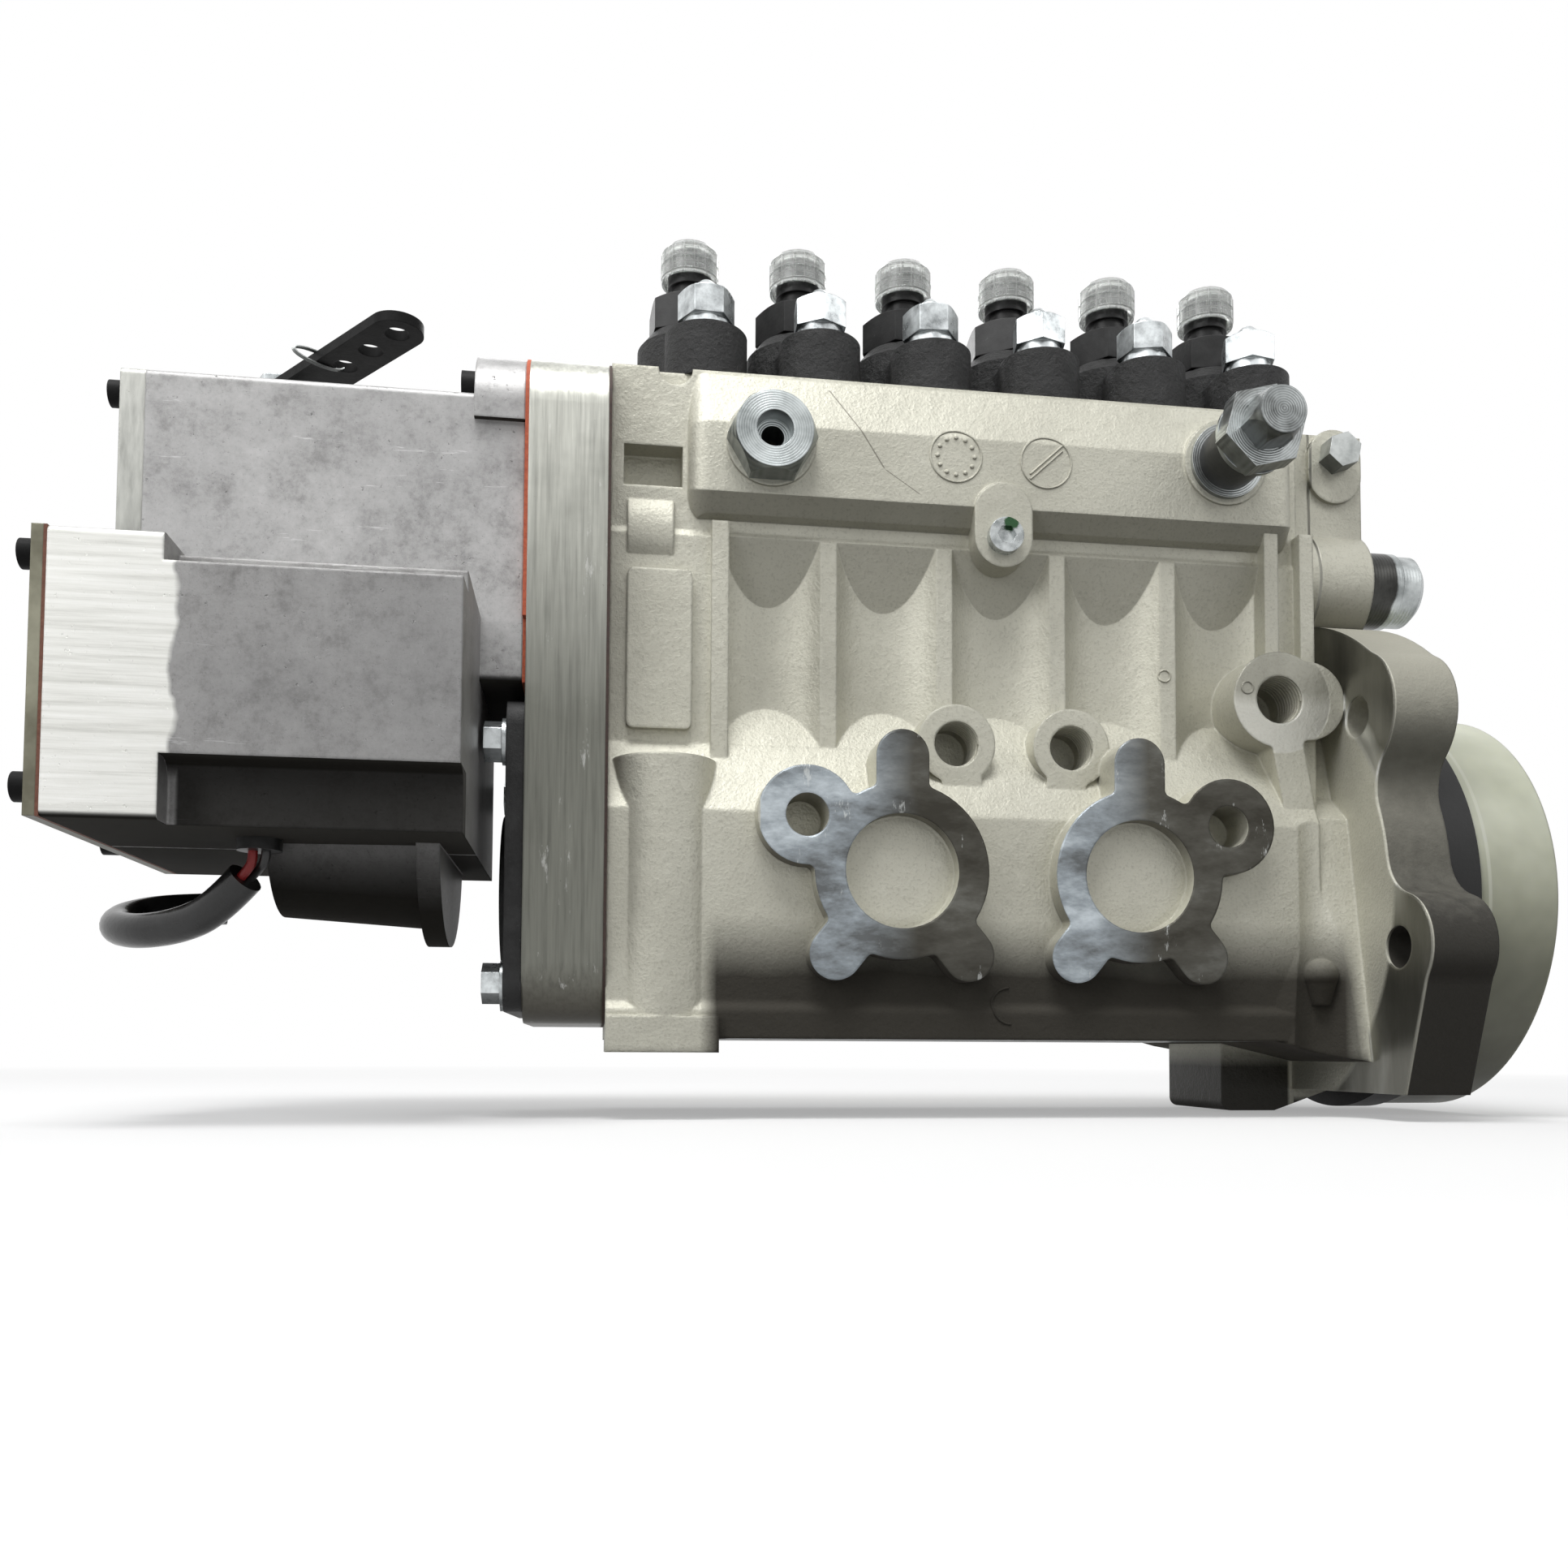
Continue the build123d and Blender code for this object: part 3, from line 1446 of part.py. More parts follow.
def delivery_flanges():
    outline = delivery_flange_outline()
    solids = []
    for x in element_xs:
        body = Pos(x, 0, deck_z) * extrude(outline, stud_lobe_top_z - deck_z)
        body += rod_z(sleeve_body_radius, barrel_shoulder_z, deck_z, x)
        body += rod_z(collar_radius, deck_z, collar_top_z, x)
        body += cone_z(collar_radius, collar_cone_radius, collar_top_z, collar_cone_top_z, x)
        body -= rod_z(barrel_body_radius, barrel_shoulder_z - 1, collar_cone_top_z + 1, x)
        for sign in (-1, 1):
            hole_x = x - sign * stud_dx
            hole_y = -sign * stud_dy
            body -= rod_z(stud_radius + stud_hole_gap, deck_z - 1, stud_lobe_top_z, hole_x, hole_y)
            # Room for the washer and nut, cut into the side of the collar
            body -= rod_z(nut_room, stud_lobe_top_z, collar_cone_top_z + 1, hole_x, hole_y)
        solids.append(body)
    return group(solids)


def flange_studs():
    solids = []
    shoulder = stud_top_z - stud_tip
    for x, y in stud_places():
        stud = rod_z(stud_radius, deck_z - stud_depth, shoulder, x, y)
        stud += cone_z(stud_radius, stud_radius - stud_tip, shoulder, stud_top_z, x, y)
        solids.append(stud)
    return group(solids)


def stud_places():
    return [(x - sign * stud_dx, -sign * stud_dy) for x in element_xs for sign in (-1, 1)]


def flange_washers():
    solids = []
    high = stud_lobe_top_z + washer_thickness
    for x, y in stud_places():
        ring = rod_z(washer_radius, stud_lobe_top_z, high, x, y)
        ring -= rod_z(stud_radius, stud_lobe_top_z - 1, high + 1, x, y)
        solids.append(ring)
    return group(solids)


def flange_nuts():
    solids = []
    low = nut_bottom_z
    waist = nut_across_flats / 2 - nut_waist
    for number, (x, y) in enumerate(stud_places()):
        turn = nut_turn + number * nut_turn_step
        nut = cone_z(washer_radius - nut_waist, waist, low, nut_collar_top_z, x, y)
        block = hex_z(nut_across_flats, nut_collar_top_z - nut_overlap, nut_top_z, x, y, turn)
        nut += block & chamfer_cutter_z(nut_across_flats, nut_top_z, x, y)
        nut -= rod_z(stud_radius, low - 1, nut_top_z + 1, x, y)
        solids.append(nut)
    return group(solids)


def valve_holders():
    solids = []
    flats = holder_hex_across_flats
    room_top = barrel_top_z + holder_room_height
    shoulder = holder_top_z - holder_chamfer
    tip = holder_thread_radius - holder_chamfer
    mouth_low = holder_top_z - holder_mouth_depth
    for x, turn in zip(element_xs, holder_turns):
        body = rod_z(barrel_body_radius, barrel_top_z, holder_hex_bottom_z, x)
        block = hex_z(flats, holder_hex_bottom_z, holder_hex_top_z, x, 0, turn)
        body += block & chamfer_cutter_z(flats, holder_hex_top_z, x, 0)
        body += rod_z(holder_neck_radius, holder_hex_top_z, holder_thread_bottom_z, x)
        body += rod_z(holder_thread_radius, holder_thread_bottom_z, shoulder, x)
        body += cone_z(holder_thread_radius, tip, shoulder, holder_top_z, x)
        body -= rod_z(holder_bore_radius, room_top, holder_top_z + 1, x)
        body -= cone_z(holder_bore_radius, holder_mouth_radius, mouth_low, holder_top_z, x)
        body -= rod_z(holder_room_radius, barrel_top_z - 1, room_top, x)
        solids.append(body)
    return group(solids)


def transit_caps():
    solids = []
    shoulder = transit_cap_top_z - transit_cap_chamfer
    tip = transit_cap_radius - transit_cap_chamfer_in
    low = transit_cap_bottom_z
    bore = holder_thread_radius + running_gap
    for x in element_xs:
        body = rod_z(transit_cap_radius, low, shoulder, x)
        body += cone_z(transit_cap_radius, tip, shoulder, transit_cap_top_z, x)
        body -= rod_z(bore, low - 1, holder_top_z + transit_cap_roof_gap, x)
        body -= cone_z(transit_cap_mouth_radius, holder_thread_radius, low, low + transit_cap_mouth_height, x)
        solids.append(body)
    return group(solids)


# Fittings


def inlet_fitting():
    root = port_boss_face_y
    flats = inlet_hex_across_flats
    body = hex_out(flats, root, inlet_face_y, inlet_x, gallery_axis_z)
    body = body & trim_out(flats, root, inlet_face_y, inlet_x, gallery_axis_z)
    body += rod_y(port_bore_radius, root, root + inlet_shank, inlet_x, gallery_axis_z)
    hole_end = inlet_face_y + inlet_hole_depth
    body -= rod_y(inlet_hole_radius, inlet_face_y - 1, hole_end, inlet_x, gallery_axis_z)
    return body - rod_y(inlet_way_radius, inlet_face_y, root + inlet_shank + 1, inlet_x, gallery_axis_z)


def overflow_washers():
    solids = []
    for start in (port_boss_face_y, overflow_sleeve_end_y):
        end = start - overflow_washer_thickness
        ring = rod_y(overflow_washer_radius, start, end, overflow_x, overflow_z)
        solids.append(ring - rod_y(overflow_shank_radius, start + 1, end - 1, overflow_x, overflow_z))
    return group(solids)


def overflow_sleeve():
    start = port_boss_face_y - overflow_washer_thickness
    end = overflow_sleeve_end_y
    sleeve = rod_y(overflow_sleeve_radius, start, end, overflow_x, overflow_z)
    return sleeve - rod_y(overflow_shank_radius, start + 1, end - 1, overflow_x, overflow_z)


def overflow_union():
    start = overflow_sleeve_end_y - overflow_washer_thickness
    end = overflow_hex_end_y
    body = hex_out(overflow_hex_across_flats, start, end, overflow_x, overflow_z, overflow_union_turn)
    return body - rod_y(overflow_shank_radius, start + 1, end - 1, overflow_x, overflow_z)


def overflow_bolt():
    flats = overflow_bolt_across_flats
    head = hex_out(flats, overflow_hex_end_y, overflow_bolt_end_y, overflow_x, overflow_z, overflow_bolt_turn)
    head = head & trim_out(flats, overflow_hex_end_y, overflow_bolt_end_y, overflow_x, overflow_z)
    shank = rod_y(overflow_shank_radius, overflow_hex_end_y, overflow_shank_end_y, overflow_x, overflow_z)
    return head + shank


def rack_guide_screw():
    x = guide_screw_x
    z = guide_screw_z
    end = guide_screw_face_y - guide_screw_head_height
    head = rod_y(guide_screw_head_radius, guide_screw_face_y, end, x, z)
    head -= hex_out(guide_socket, end + guide_socket_depth, end - 1, x, z)
    return head + rod_y(guide_screw_radius, guide_screw_face_y, rack_y - rack_radius - free_gap, x, z)


def side_bolt():
    face = side_bolt_face_y
    x = side_bolt_x
    z = side_bolt_z
    head = hex_out(side_bolt_across_flats, face, face - side_bolt_head_height, x, z, side_bolt_turn)
    return head + rod_y(side_bolt_radius, face, face + side_bolt_length, x, z)


def rack_end_cap():
    collar = rack_cap_collar_x
    shoulder = rack_cap_end_x - rack_cap_chamfer
    small = rack_cap_radius - rack_cap_step
    body = rod_x(rack_cap_radius, housing_right_x, collar, rack_y, rack_z)
    body += rod_x(small, collar, shoulder, rack_y, rack_z)
    body += cone_x(small, small - rack_cap_chamfer, shoulder, rack_cap_end_x, rack_y, rack_z)
    room_end = rack_cap_end_x - rack_cap_roof
    return body - rod_x(rack_radius + rack_cap_room_gap, housing_right_x - 1, room_end, rack_y, rack_z)


# Stop lever


def lever_outline():
    outline = capsule(0, 0, lever_tip_hole, 0, lever_half_width)
    outline += Circle(lever_half_width + lever_hub_rim)
    for i in range(lever_hole_count):
        outline -= Pos(lever_tip_hole - lever_hole_pitch * i, 0) * Circle(lever_hole_radius)
    return outline - Circle(lever_shaft_radius)


def stop_lever():
    plate = extrude(lever_outline(), lever_thickness)
    return Pos(lever_x, lever_y, lever_bottom_z) * Rot(0, 0, lever_heading) * plate


def stop_shaft():
    top = lever_bottom_z + lever_thickness
    low = lever_bushing_bottom_z - stop_dog_drop
    shaft = rod_z(lever_shaft_radius, low, top + stop_shaft_rise, lever_x, lever_y)
    half = stop_dog_half
    right = lever_x + stop_dog_length
    shaft += span_box(lever_x, right, lever_y - half, lever_y + half, low, low + stop_dog_height)
    shaft += hex_z(stop_nut_flats, top, top + stop_nut_height, lever_x, lever_y)
    return shaft + rod_z(stop_spacer_radius, lever_bushing_top_z + free_gap, lever_bottom_z, lever_x, lever_y)


def stop_bushing():
    collar_top = governor_top_z + bushing_collar_height
    bush = rod_z(lever_bushing_radius, lever_bushing_bottom_z, governor_top_z, lever_x, lever_y)
    bush += rod_z(bushing_collar_radius, governor_top_z, collar_top, lever_x, lever_y)
    bush += rod_z(lever_bushing_radius, collar_top, lever_bushing_top_z, lever_x, lever_y)
    bore = lever_shaft_radius + running_gap
    return bush - rod_z(bore, lever_bushing_bottom_z - 1, lever_bushing_top_z + 1, lever_x, lever_y)


# Cable


def tangent_radii(points):
    radii = []
    for before, at, after in zip(points, points[1:], points[2:]):
        run_in = Vector(*at) - Vector(*before)
        run_out = Vector(*after) - Vector(*at)
        turn = math.radians(run_in.get_angle(run_out))
        shorter = min(run_in.length, run_out.length)
        radii.append(0.45 * shorter / math.tan(turn / 2))
    return radii


def cord(points, radius, label):
    radii = tangent_radii(points)
    print(label, "bend radii", [round(r, 1) for r in radii])
    path = FilletPolyline(*points, radius=radii)
    first = Vector(*points[1]) - Vector(*points[0])
    section = Plane(points[0], z_dir=first) * Circle(radius)
    body = sweep(section, path)
    print(label, "volume", round(body.volume, 1), "expected", round(path.length * math.pi * radius ** 2, 1))
    return body


def cable_gland():
    top = actuator_bottom_z + actuator_wall
    body = rod_z(gland_radius, actuator_bottom_z, top, gland_x, gland_y)
    low = actuator_bottom_z - gland_drop
    return body + rod_z(gland_radius + gland_lip, low, actuator_bottom_z, gland_x, gland_y)


def wire_points(shift):
    # The wires leave the gland straight down and enter the sleeve square to its end face
    low = actuator_bottom_z - gland_drop
    start = Vector(*cable_points[0])
    along = (Vector(*cable_points[1]) - start).normalized()
    across = Vector(along.Y, -along.X, 0).normalized()
    finish = start + across * shift
    before = finish - along * wire_run
    exit_x = gland_x + shift
    return [(exit_x, gland_y, low), (exit_x, gland_y, low - wire_run), tuple(before), tuple(finish)]


def actuator_wires():
    solids = []
    for i, shift in enumerate((-wire_spread, wire_spread)):
        solids.append(cord(wire_points(shift), wire_radius, "wire " + str(i)))
    return group(solids)


def cable_sleeve():
    return cord(cable_points, cable_radius, "cable")


def save(name, shape):
    shape.label = name
    export_step(shape, os.path.join("parts", name + ".step"))
    print(name, "solids", len(shape.solids()), "volume", round(shape.volume, 1))


def build_all():
    os.makedirs("parts", exist_ok=True)
    save("pump_housing", pump_housing())
    save("base_cover", base_cover())
    save("base_screws", base_screws())
    save("housing_gasket", housing_gasket())
    save("adapter_plate", adapter_plate())
    save("governor_gasket", governor_gasket())
    save("governor_housing", governor_housing())
    save("governor_cover", governor_cover())
    save("governor_cover_screws", governor_cover_screws())
    save("governor_flange_screws", governor_flange_screws())
    save("shaft_cover", shaft_cover())
    save("shaft_cover_screws", shaft_cover_screws())
    save("actuator_housing", actuator_housing())
    save("actuator_gasket", actuator_gasket())
    save("actuator_cover", actuator_cover())
    save("actuator_cover_screws", actuator_cover_screws())
    save("actuator_stator", actuator_stator())
    save("actuator_rotor", actuator_rotor())
    save("camshaft", camshaft())
    save("drive_key", drive_key())
    save("bearing_inner_rings", bearing_inner_rings())
    save("bearing_outer_rings", bearing_outer_rings())
    save("bearing_rollers", bearing_rollers())
    save("bearing_retainer", bearing_retainer())
    save("pilot_ring", pilot_ring())
    save("oil_seal", oil_seal())
    save("drive_cap", drive_cap())
    save("tappets", tappets())
    save("tappet_rollers", tappet_rollers())
    save("plunger_springs", plunger_springs())
    save("spring_plates", spring_plates())
    save("plungers", plungers())
    save("barrels", barrels())
    for number, x in enumerate(element_xs, 1):
        save("control_sleeve_" + str(number), control_sleeve(x))
    save("control_rack", control_rack())
    save("delivery_flanges", delivery_flanges())
    save("flange_studs", flange_studs())
    save("flange_washers", flange_washers())
    save("flange_nuts", flange_nuts())
    save("valve_holders", valve_holders())
    save("transit_caps", transit_caps())
    save("inlet_fitting", inlet_fitting())
    save("overflow_washers", overflow_washers())
    save("overflow_sleeve", overflow_sleeve())
    save("overflow_union", overflow_union())
    save("overflow_bolt", overflow_bolt())
    save("rack_guide_screw", rack_guide_screw())
    save("side_bolt", side_bolt())
    save("rack_end_cap", rack_end_cap())
    save("stop_lever", stop_lever())
    save("stop_shaft", stop_shaft())
    save("stop_bushing", stop_bushing())
    save("cable_gland", cable_gland())
    save("actuator_wires", actuator_wires())
    save("cable_sleeve", cable_sleeve())


build_all()
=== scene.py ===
# %% [markdown]
# # An in-line diesel injection pump
# The object is a six cylinder injection pump: a cast aluminium body with a row of black
# delivery valves on top, a governor and its actuator on the left, and a mounting flange with
# a milky transit cap on the right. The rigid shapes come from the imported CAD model, in metres,
# with +X out of the drive end, +Y away from the reader and +Z up. This notebook gives each
# shape its finish, and adds the small things that are too fine for the CAD source: wires,
# cast marks, threads, cap ribs, a scratch and a paint dab.

# %% Load the frame
import math

import bmesh
import bpy
from mathutils import Matrix, Vector
from mathutils.bvhtree import BVHTree


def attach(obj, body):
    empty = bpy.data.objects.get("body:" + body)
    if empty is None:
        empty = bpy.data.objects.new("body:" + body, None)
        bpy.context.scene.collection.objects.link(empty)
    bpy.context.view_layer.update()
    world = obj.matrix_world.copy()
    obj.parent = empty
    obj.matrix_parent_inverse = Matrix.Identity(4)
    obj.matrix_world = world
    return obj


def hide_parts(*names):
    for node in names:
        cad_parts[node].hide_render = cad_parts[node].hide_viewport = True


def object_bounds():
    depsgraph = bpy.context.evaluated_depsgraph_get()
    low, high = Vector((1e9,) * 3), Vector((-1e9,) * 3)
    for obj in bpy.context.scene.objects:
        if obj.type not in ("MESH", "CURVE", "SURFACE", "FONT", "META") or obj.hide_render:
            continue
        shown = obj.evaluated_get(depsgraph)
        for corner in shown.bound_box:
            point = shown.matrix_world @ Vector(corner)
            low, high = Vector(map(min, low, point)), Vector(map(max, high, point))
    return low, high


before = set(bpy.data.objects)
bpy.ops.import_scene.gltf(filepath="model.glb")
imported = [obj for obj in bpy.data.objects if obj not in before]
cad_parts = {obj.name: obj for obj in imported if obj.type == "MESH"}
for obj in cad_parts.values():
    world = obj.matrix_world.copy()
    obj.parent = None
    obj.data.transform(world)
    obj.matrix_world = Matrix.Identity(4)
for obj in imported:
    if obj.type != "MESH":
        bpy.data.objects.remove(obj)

cad_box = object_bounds()
print("CAD box", [round(v, 4) for corner in cad_box for v in corner])

# %% [markdown]
# ## The camera
# The photograph was taken from low down and in front of the flange end, so the flange leans
# towards the lens and the governor falls away. The place and the direction of the lens were
# worked out from points with known distances, such as the six valves 35 mm apart. A lens
# shift keeps the picture's centre below the pump, as it is in the photograph.

# %% Camera
picture_size = 1932.0
focal_pixels = 1665.54
centre_pixel = (972.06, 1208.44)
camera_place = Vector((-0.24469, -0.42291, -0.04698))
camera_right = Vector((0.9897, -0.1428, 0.0047))
camera_forward = Vector((0.1424, 0.9885, 0.0506))

camera_data = bpy.data.cameras.new("pump_camera")
camera = bpy.data.objects.new("pump_camera", camera_data)
bpy.context.scene.collection.objects.link(camera)
bpy.context.scene.camera = camera

forward = camera_forward.normalized()
right = (camera_right - forward * camera_right.dot(forward)).normalized()
up = right.cross(forward)
turn = Matrix((right, up, -forward)).transposed()
camera.matrix_world = Matrix.Translation(camera_place) @ turn.to_4x4()
camera_data.sensor_width = 36.0
camera_data.lens = focal_pixels * camera_data.sensor_width / picture_size
camera_data.shift_x = (picture_size / 2 - centre_pixel[0]) / picture_size
camera_data.shift_y = (centre_pixel[1] - picture_size / 2) / picture_size
camera_data.clip_start = 0.02
camera_data.clip_end = 20.0
shift = (round(camera_data.shift_x, 4), round(camera_data.shift_y, 4))
print("lens", round(camera_data.lens, 2), "shift", *shift)

# %% [markdown]
# ## The actuator cable
# A short cable comes out of the bottom of the actuator box: one red and one black wire go
# through a rubber gland into a black sleeve, which curls back under the box and ends cut
# square. A cord is a smooth line with a round section, so each one is a NURBS curve led by a
# few control points, with a bevel, which is then turned into a mesh. The cast marks, the cap
# ribs and the threads further down are thin lines too, so they share the helpers of this cell.


# %% Line helpers
def new_curve(name, radius, bevel_steps, caps=True):
    curve = bpy.data.curves.new(name, "CURVE")
    curve.dimensions = "3D"
    curve.bevel_depth = radius
    curve.bevel_resolution = bevel_steps
    curve.use_fill_caps = caps
    return curve


def add_run(curve, kind, points, closed=False):
    spline = curve.splines.new(kind)
    spline.points.add(len(points) - 1)
    for point, place in zip(spline.points, points):
        point.co = (*place, 1.0)
    spline.use_cyclic_u = closed
    return spline


def as_mesh(name, curve, body):
    # the finished mesh of a curve, as a piece on a body
    probe = bpy.data.objects.new("probe", curve)
    mesh = bpy.data.meshes.new_from_object(probe)
    bpy.data.objects.remove(probe)
    mesh.name = name
    piece = bpy.data.objects.new(name, mesh)
    bpy.context.scene.collection.objects.link(piece)
    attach(piece, body)
    return piece


def line_points(curve):
    # the points of the smooth line inside a cord
    bare = curve.copy()
    bare.bevel_depth = 0.0
    probe = bpy.data.objects.new("probe", bare)
    mesh = bpy.data.meshes.new_from_object(probe)
    points = [vertex.co.copy() for vertex in mesh.vertices]
    bpy.data.objects.remove(probe)
    bpy.data.curves.remove(bare)
    bpy.data.meshes.remove(mesh)
    return points


# %% Cords
cord_bevel_steps = 8
cord_steps = 16


def smooth_cord(name, points, radius, body):
    curve = new_curve(name, radius, cord_bevel_steps)
    spline = add_run(curve, "NURBS", points)
    spline.order_u = 3
    spline.use_endpoint_u = True
    spline.resolution_u = cord_steps
    line_points(curve)
    cord = as_mesh(name, curve, body)
    print(name, "control points", len(points), "radius", radius)
    return cord


cable_radius = 0.0046
wire_radius = 0.0012
cable_route = [
    (-0.333, -0.064, -0.004),
    (-0.341, -0.060, -0.012),
    (-0.352, -0.054, -0.016),
    (-0.364, -0.048, -0.017),
    (-0.373, -0.038, -0.015),
    (-0.373, -0.026, -0.011),
    (-0.364, -0.017, -0.008),
    (-0.351, -0.012, -0.007),
]
gland_centre = Vector((-0.329, -0.067, 0.0025))
wire_spread = 0.0016
wire_run = 0.0026

sleeve = smooth_cord("cable_sleeve_smooth", cable_route, cable_radius, "housing")
sleeve_start = Vector(cable_route[0])
sleeve_along = (Vector(cable_route[1]) - sleeve_start).normalized()
sleeve_across = Vector((sleeve_along.y, -sleeve_along.x, 0)).normalized()


def wire_route(shift):
    start = gland_centre + Vector((shift, 0, 0))
    finish = sleeve_start + sleeve_across * shift
    return [start, start - Vector((0, 0, wire_run)), finish - sleeve_along * wire_run, finish]


red_wire = smooth_cord("red_wire", wire_route(-wire_spread), wire_radius, "housing")
black_wire = smooth_cord("black_wire", wire_route(wire_spread), wire_radius, "housing")
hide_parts("cable_sleeve")
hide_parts("actuator_wires")

# %% [markdown]
# ## Shader helpers
# Every finish below is made of nodes. Written by hand, node trees get long, so a small class
# wraps a socket and turns Python's + - * into Math nodes. One method makes any other node:
# it takes the node's type, its settings and the values or links of its sockets. A colour is
# written as three numbers, and the method adds the alpha.


# %% Shader class
class Wire:
    def __init__(self, tree, socket):
        self.tree = tree
        self.socket = socket

    def maths(self, operation, other=None):
        values = {0: self} if other is None else {0: self, 1: other}
        return self.tree.node("ShaderNodeMath", {"operation": operation}, values)

    def __add__(self, other):
        return self.maths("ADD", other)

    def __radd__(self, other):
        return self.maths("ADD", other)

    def __sub__(self, other):
        return self.maths("SUBTRACT", other)

    def __rsub__(self, other):
        return self.tree.node("ShaderNodeMath", {"operation": "SUBTRACT"}, {0: other, 1: self})

    def __mul__(self, other):
        return self.maths("MULTIPLY", other)

    def __rmul__(self, other):
        return self.maths("MULTIPLY", other)


class Finish:
    def __init__(self, name):
        self.material = bpy.data.materials.new(name)
        self.material.use_nodes = True
        self.nodes = self.material.node_tree.nodes
        self.links = self.material.node_tree.links
        self.nodes.clear()
        self.output = self.nodes.new("ShaderNodeOutputMaterial")
        self.spot = self.node("ShaderNodeTexCoord", {}, {}, "Object")

    def node(self, kind, settings, values, output=0):
        made = self.nodes.new(kind)
        for key, value in settings.items():
            if key == "stops":
                set_stops(made.color_ramp, value)
            else:
                setattr(made, key, value)
        for key, value in values.items():
            socket = made.inputs[key]
            if isinstance(value, Wire):
                self.links.new(value.socket, socket)
            elif socket.type == "RGBA":
                socket.default_value = (*value, 1.0)
            else:
                socket.default_value = value
        return Wire(self, made.outputs[output])

    def noise(self, scale, detail=3.0, rough=0.55, at=None):
        values = {"Vector": at or self.spot, "Scale": scale, "Detail": detail, "Roughness": rough}
        return self.node("ShaderNodeTexNoise", {}, values)

    def stretched(self, x, y, z):
        return self.node("ShaderNodeMapping", {}, {"Vector": self.spot, "Scale": (x, y, z)})

    def ramp(self, value, stops):
        return self.node("ShaderNodeValToRGB", {"stops": stops}, {0: value})

    def mix(self, share, low, high, blend="MIX"):
        # the two colour sockets of this node are numbers 6 and 7, and its colour output is 2
        settings = {"data_type": "RGBA", "blend_type": blend}
        return self.node("ShaderNodeMix", settings, {0: share, 6: low, 7: high}, 2)

    def band(self, value, low, high):
        # 0 below low and 1 above high
        values = {0: value, 1: low, 2: high, 3: 0.0, 4: 1.0}
        return self.node("ShaderNodeMapRange", {"clamp": True}, values)

    def below(self, value, low, high):
        # 1 below low and 0 above high
        return 1.0 - self.band(value, low, high)

    def inside(self, value, low, high, soft=0.0003):
        # 1 between low and high
        return self.band(value, low, low + soft) * self.below(value, high - soft, high)

    def in_front(self, y, far, near):
        # 1 nearer to the reader than near, both counted from the shaft's axis
        return self.band(0.0 - y, far, near)

    def normal_z(self):
        return self.split(self.node("ShaderNodeTexCoord", {}, {}, "Normal"))[2]

    def faces_down(self):
        # 0 on upright faces and 1 on faces that look down
        return self.band(0.0 - self.normal_z(), 0.08, 0.75)

    def faces_up(self):
        return self.band(self.normal_z(), 0.02, 0.30)

    def rounded(self, radius):
        # a normal that bends over sharp edges
        return self.node("ShaderNodeBevel", {"samples": 4}, {"Radius": radius})

    def split(self, vector):
        made = self.nodes.new("ShaderNodeSeparateXYZ")
        self.links.new(vector.socket, made.inputs[0])
        return [Wire(self, output) for output in made.outputs]

    def bump(self, height, distance, strength=1.0, normal=None):
        values = {"Height": height, "Distance": distance, "Strength": strength}
        if normal is not None:
            values["Normal"] = normal
        return self.node("ShaderNodeBump", {}, values)

    def skin(self, values):
        shader = self.node("ShaderNodeBsdfPrincipled", {}, values)
        self.links.new(shader.socket, self.output.inputs["Surface"])
        return self.material


def set_stops(ramp, stops):
    while len(ramp.elements) < len(stops):
        ramp.elements.new(0.5)
    for element, (position, colour) in zip(ramp.elements, stops):
        element.position = position
        element.color = (*colour, 1.0)


def grey(value, warm=0.0):
    return (value + warm, value, value - warm)


def darker(colour, share):
    return tuple(value * share for value in colour)


# %% [markdown]
# ## Sand cast aluminium
# The pump body is cast in sand and then shot blasted, which leaves a fine, even grain and a
# soft champagne sheen. Three sizes of noise give the slow changes of tone, the grain and the
# dark specks. A Bevel node feeds the bump, so that the sharp edges of the CAD solid catch the
# light as rounded cast edges do. Faces that look down get a painted shade, a dark colour, and
# they are duller as well.


# %% Shared tones
def away_from(a, b, centre):
    # distance in the plane of two of the coordinates
    across, along = a - centre[0], b - centre[1]
    return (across * across + along * along).maths("SQRT")


champagne = [(0.30, (0.50, 0.49, 0.415)), (0.50, (0.575, 0.565, 0.48)), (0.72, (0.64, 0.63, 0.54))]
# the dark colour of painted shade on faces that look down
painted_underside_shade = (0.085, 0.075, 0.060)
print("champagne stops", len(champagne))

# %% [markdown]
# The masks below say where the pump body looks different. Their places are in metres, and
# each one stays clear of its neighbours.

# %% Places on the pump body
scratch_points = ((-0.178, 0.148), (-0.1622, 0.1231), (-0.1513, 0.116))
scratch_half_width = (0.00012, 0.00035)
scratch_front = (0.030, 0.032)
flank_depth = (0.014, 0.031)
flank_x = (-0.216, -0.020)
flank_front = (0.020, 0.036)
foot_top_z = (-0.052, -0.046)
foot_right_x = (-0.0215, -0.0205)
rim_x = (-0.0194, 0.0006)
rim_radius = (0.062, 0.064)
rim_top_z = (0.086, 0.094)
flange_back_x = (-0.0206, -0.0194)
flange_back_radius = (0.068, 0.070)
scraped_radius = (0.077, 0.081)
pad_front = (0.0544, 0.0546)
pads_x, pads_z = (-0.200, -0.045), (-0.045, 0.050)
left_pad_reflection_end = (-0.166, -0.150)
right_pad_start = (-0.127, -0.126)
right_pad_reflection_end = (-0.096, -0.080)
large_boss = (-0.0410, 0.0591)
large_boss_front = (0.0446, 0.0448)
large_boss_radius = (0.016, 0.0165)
print("scratch runs through", len(scratch_points), "points")


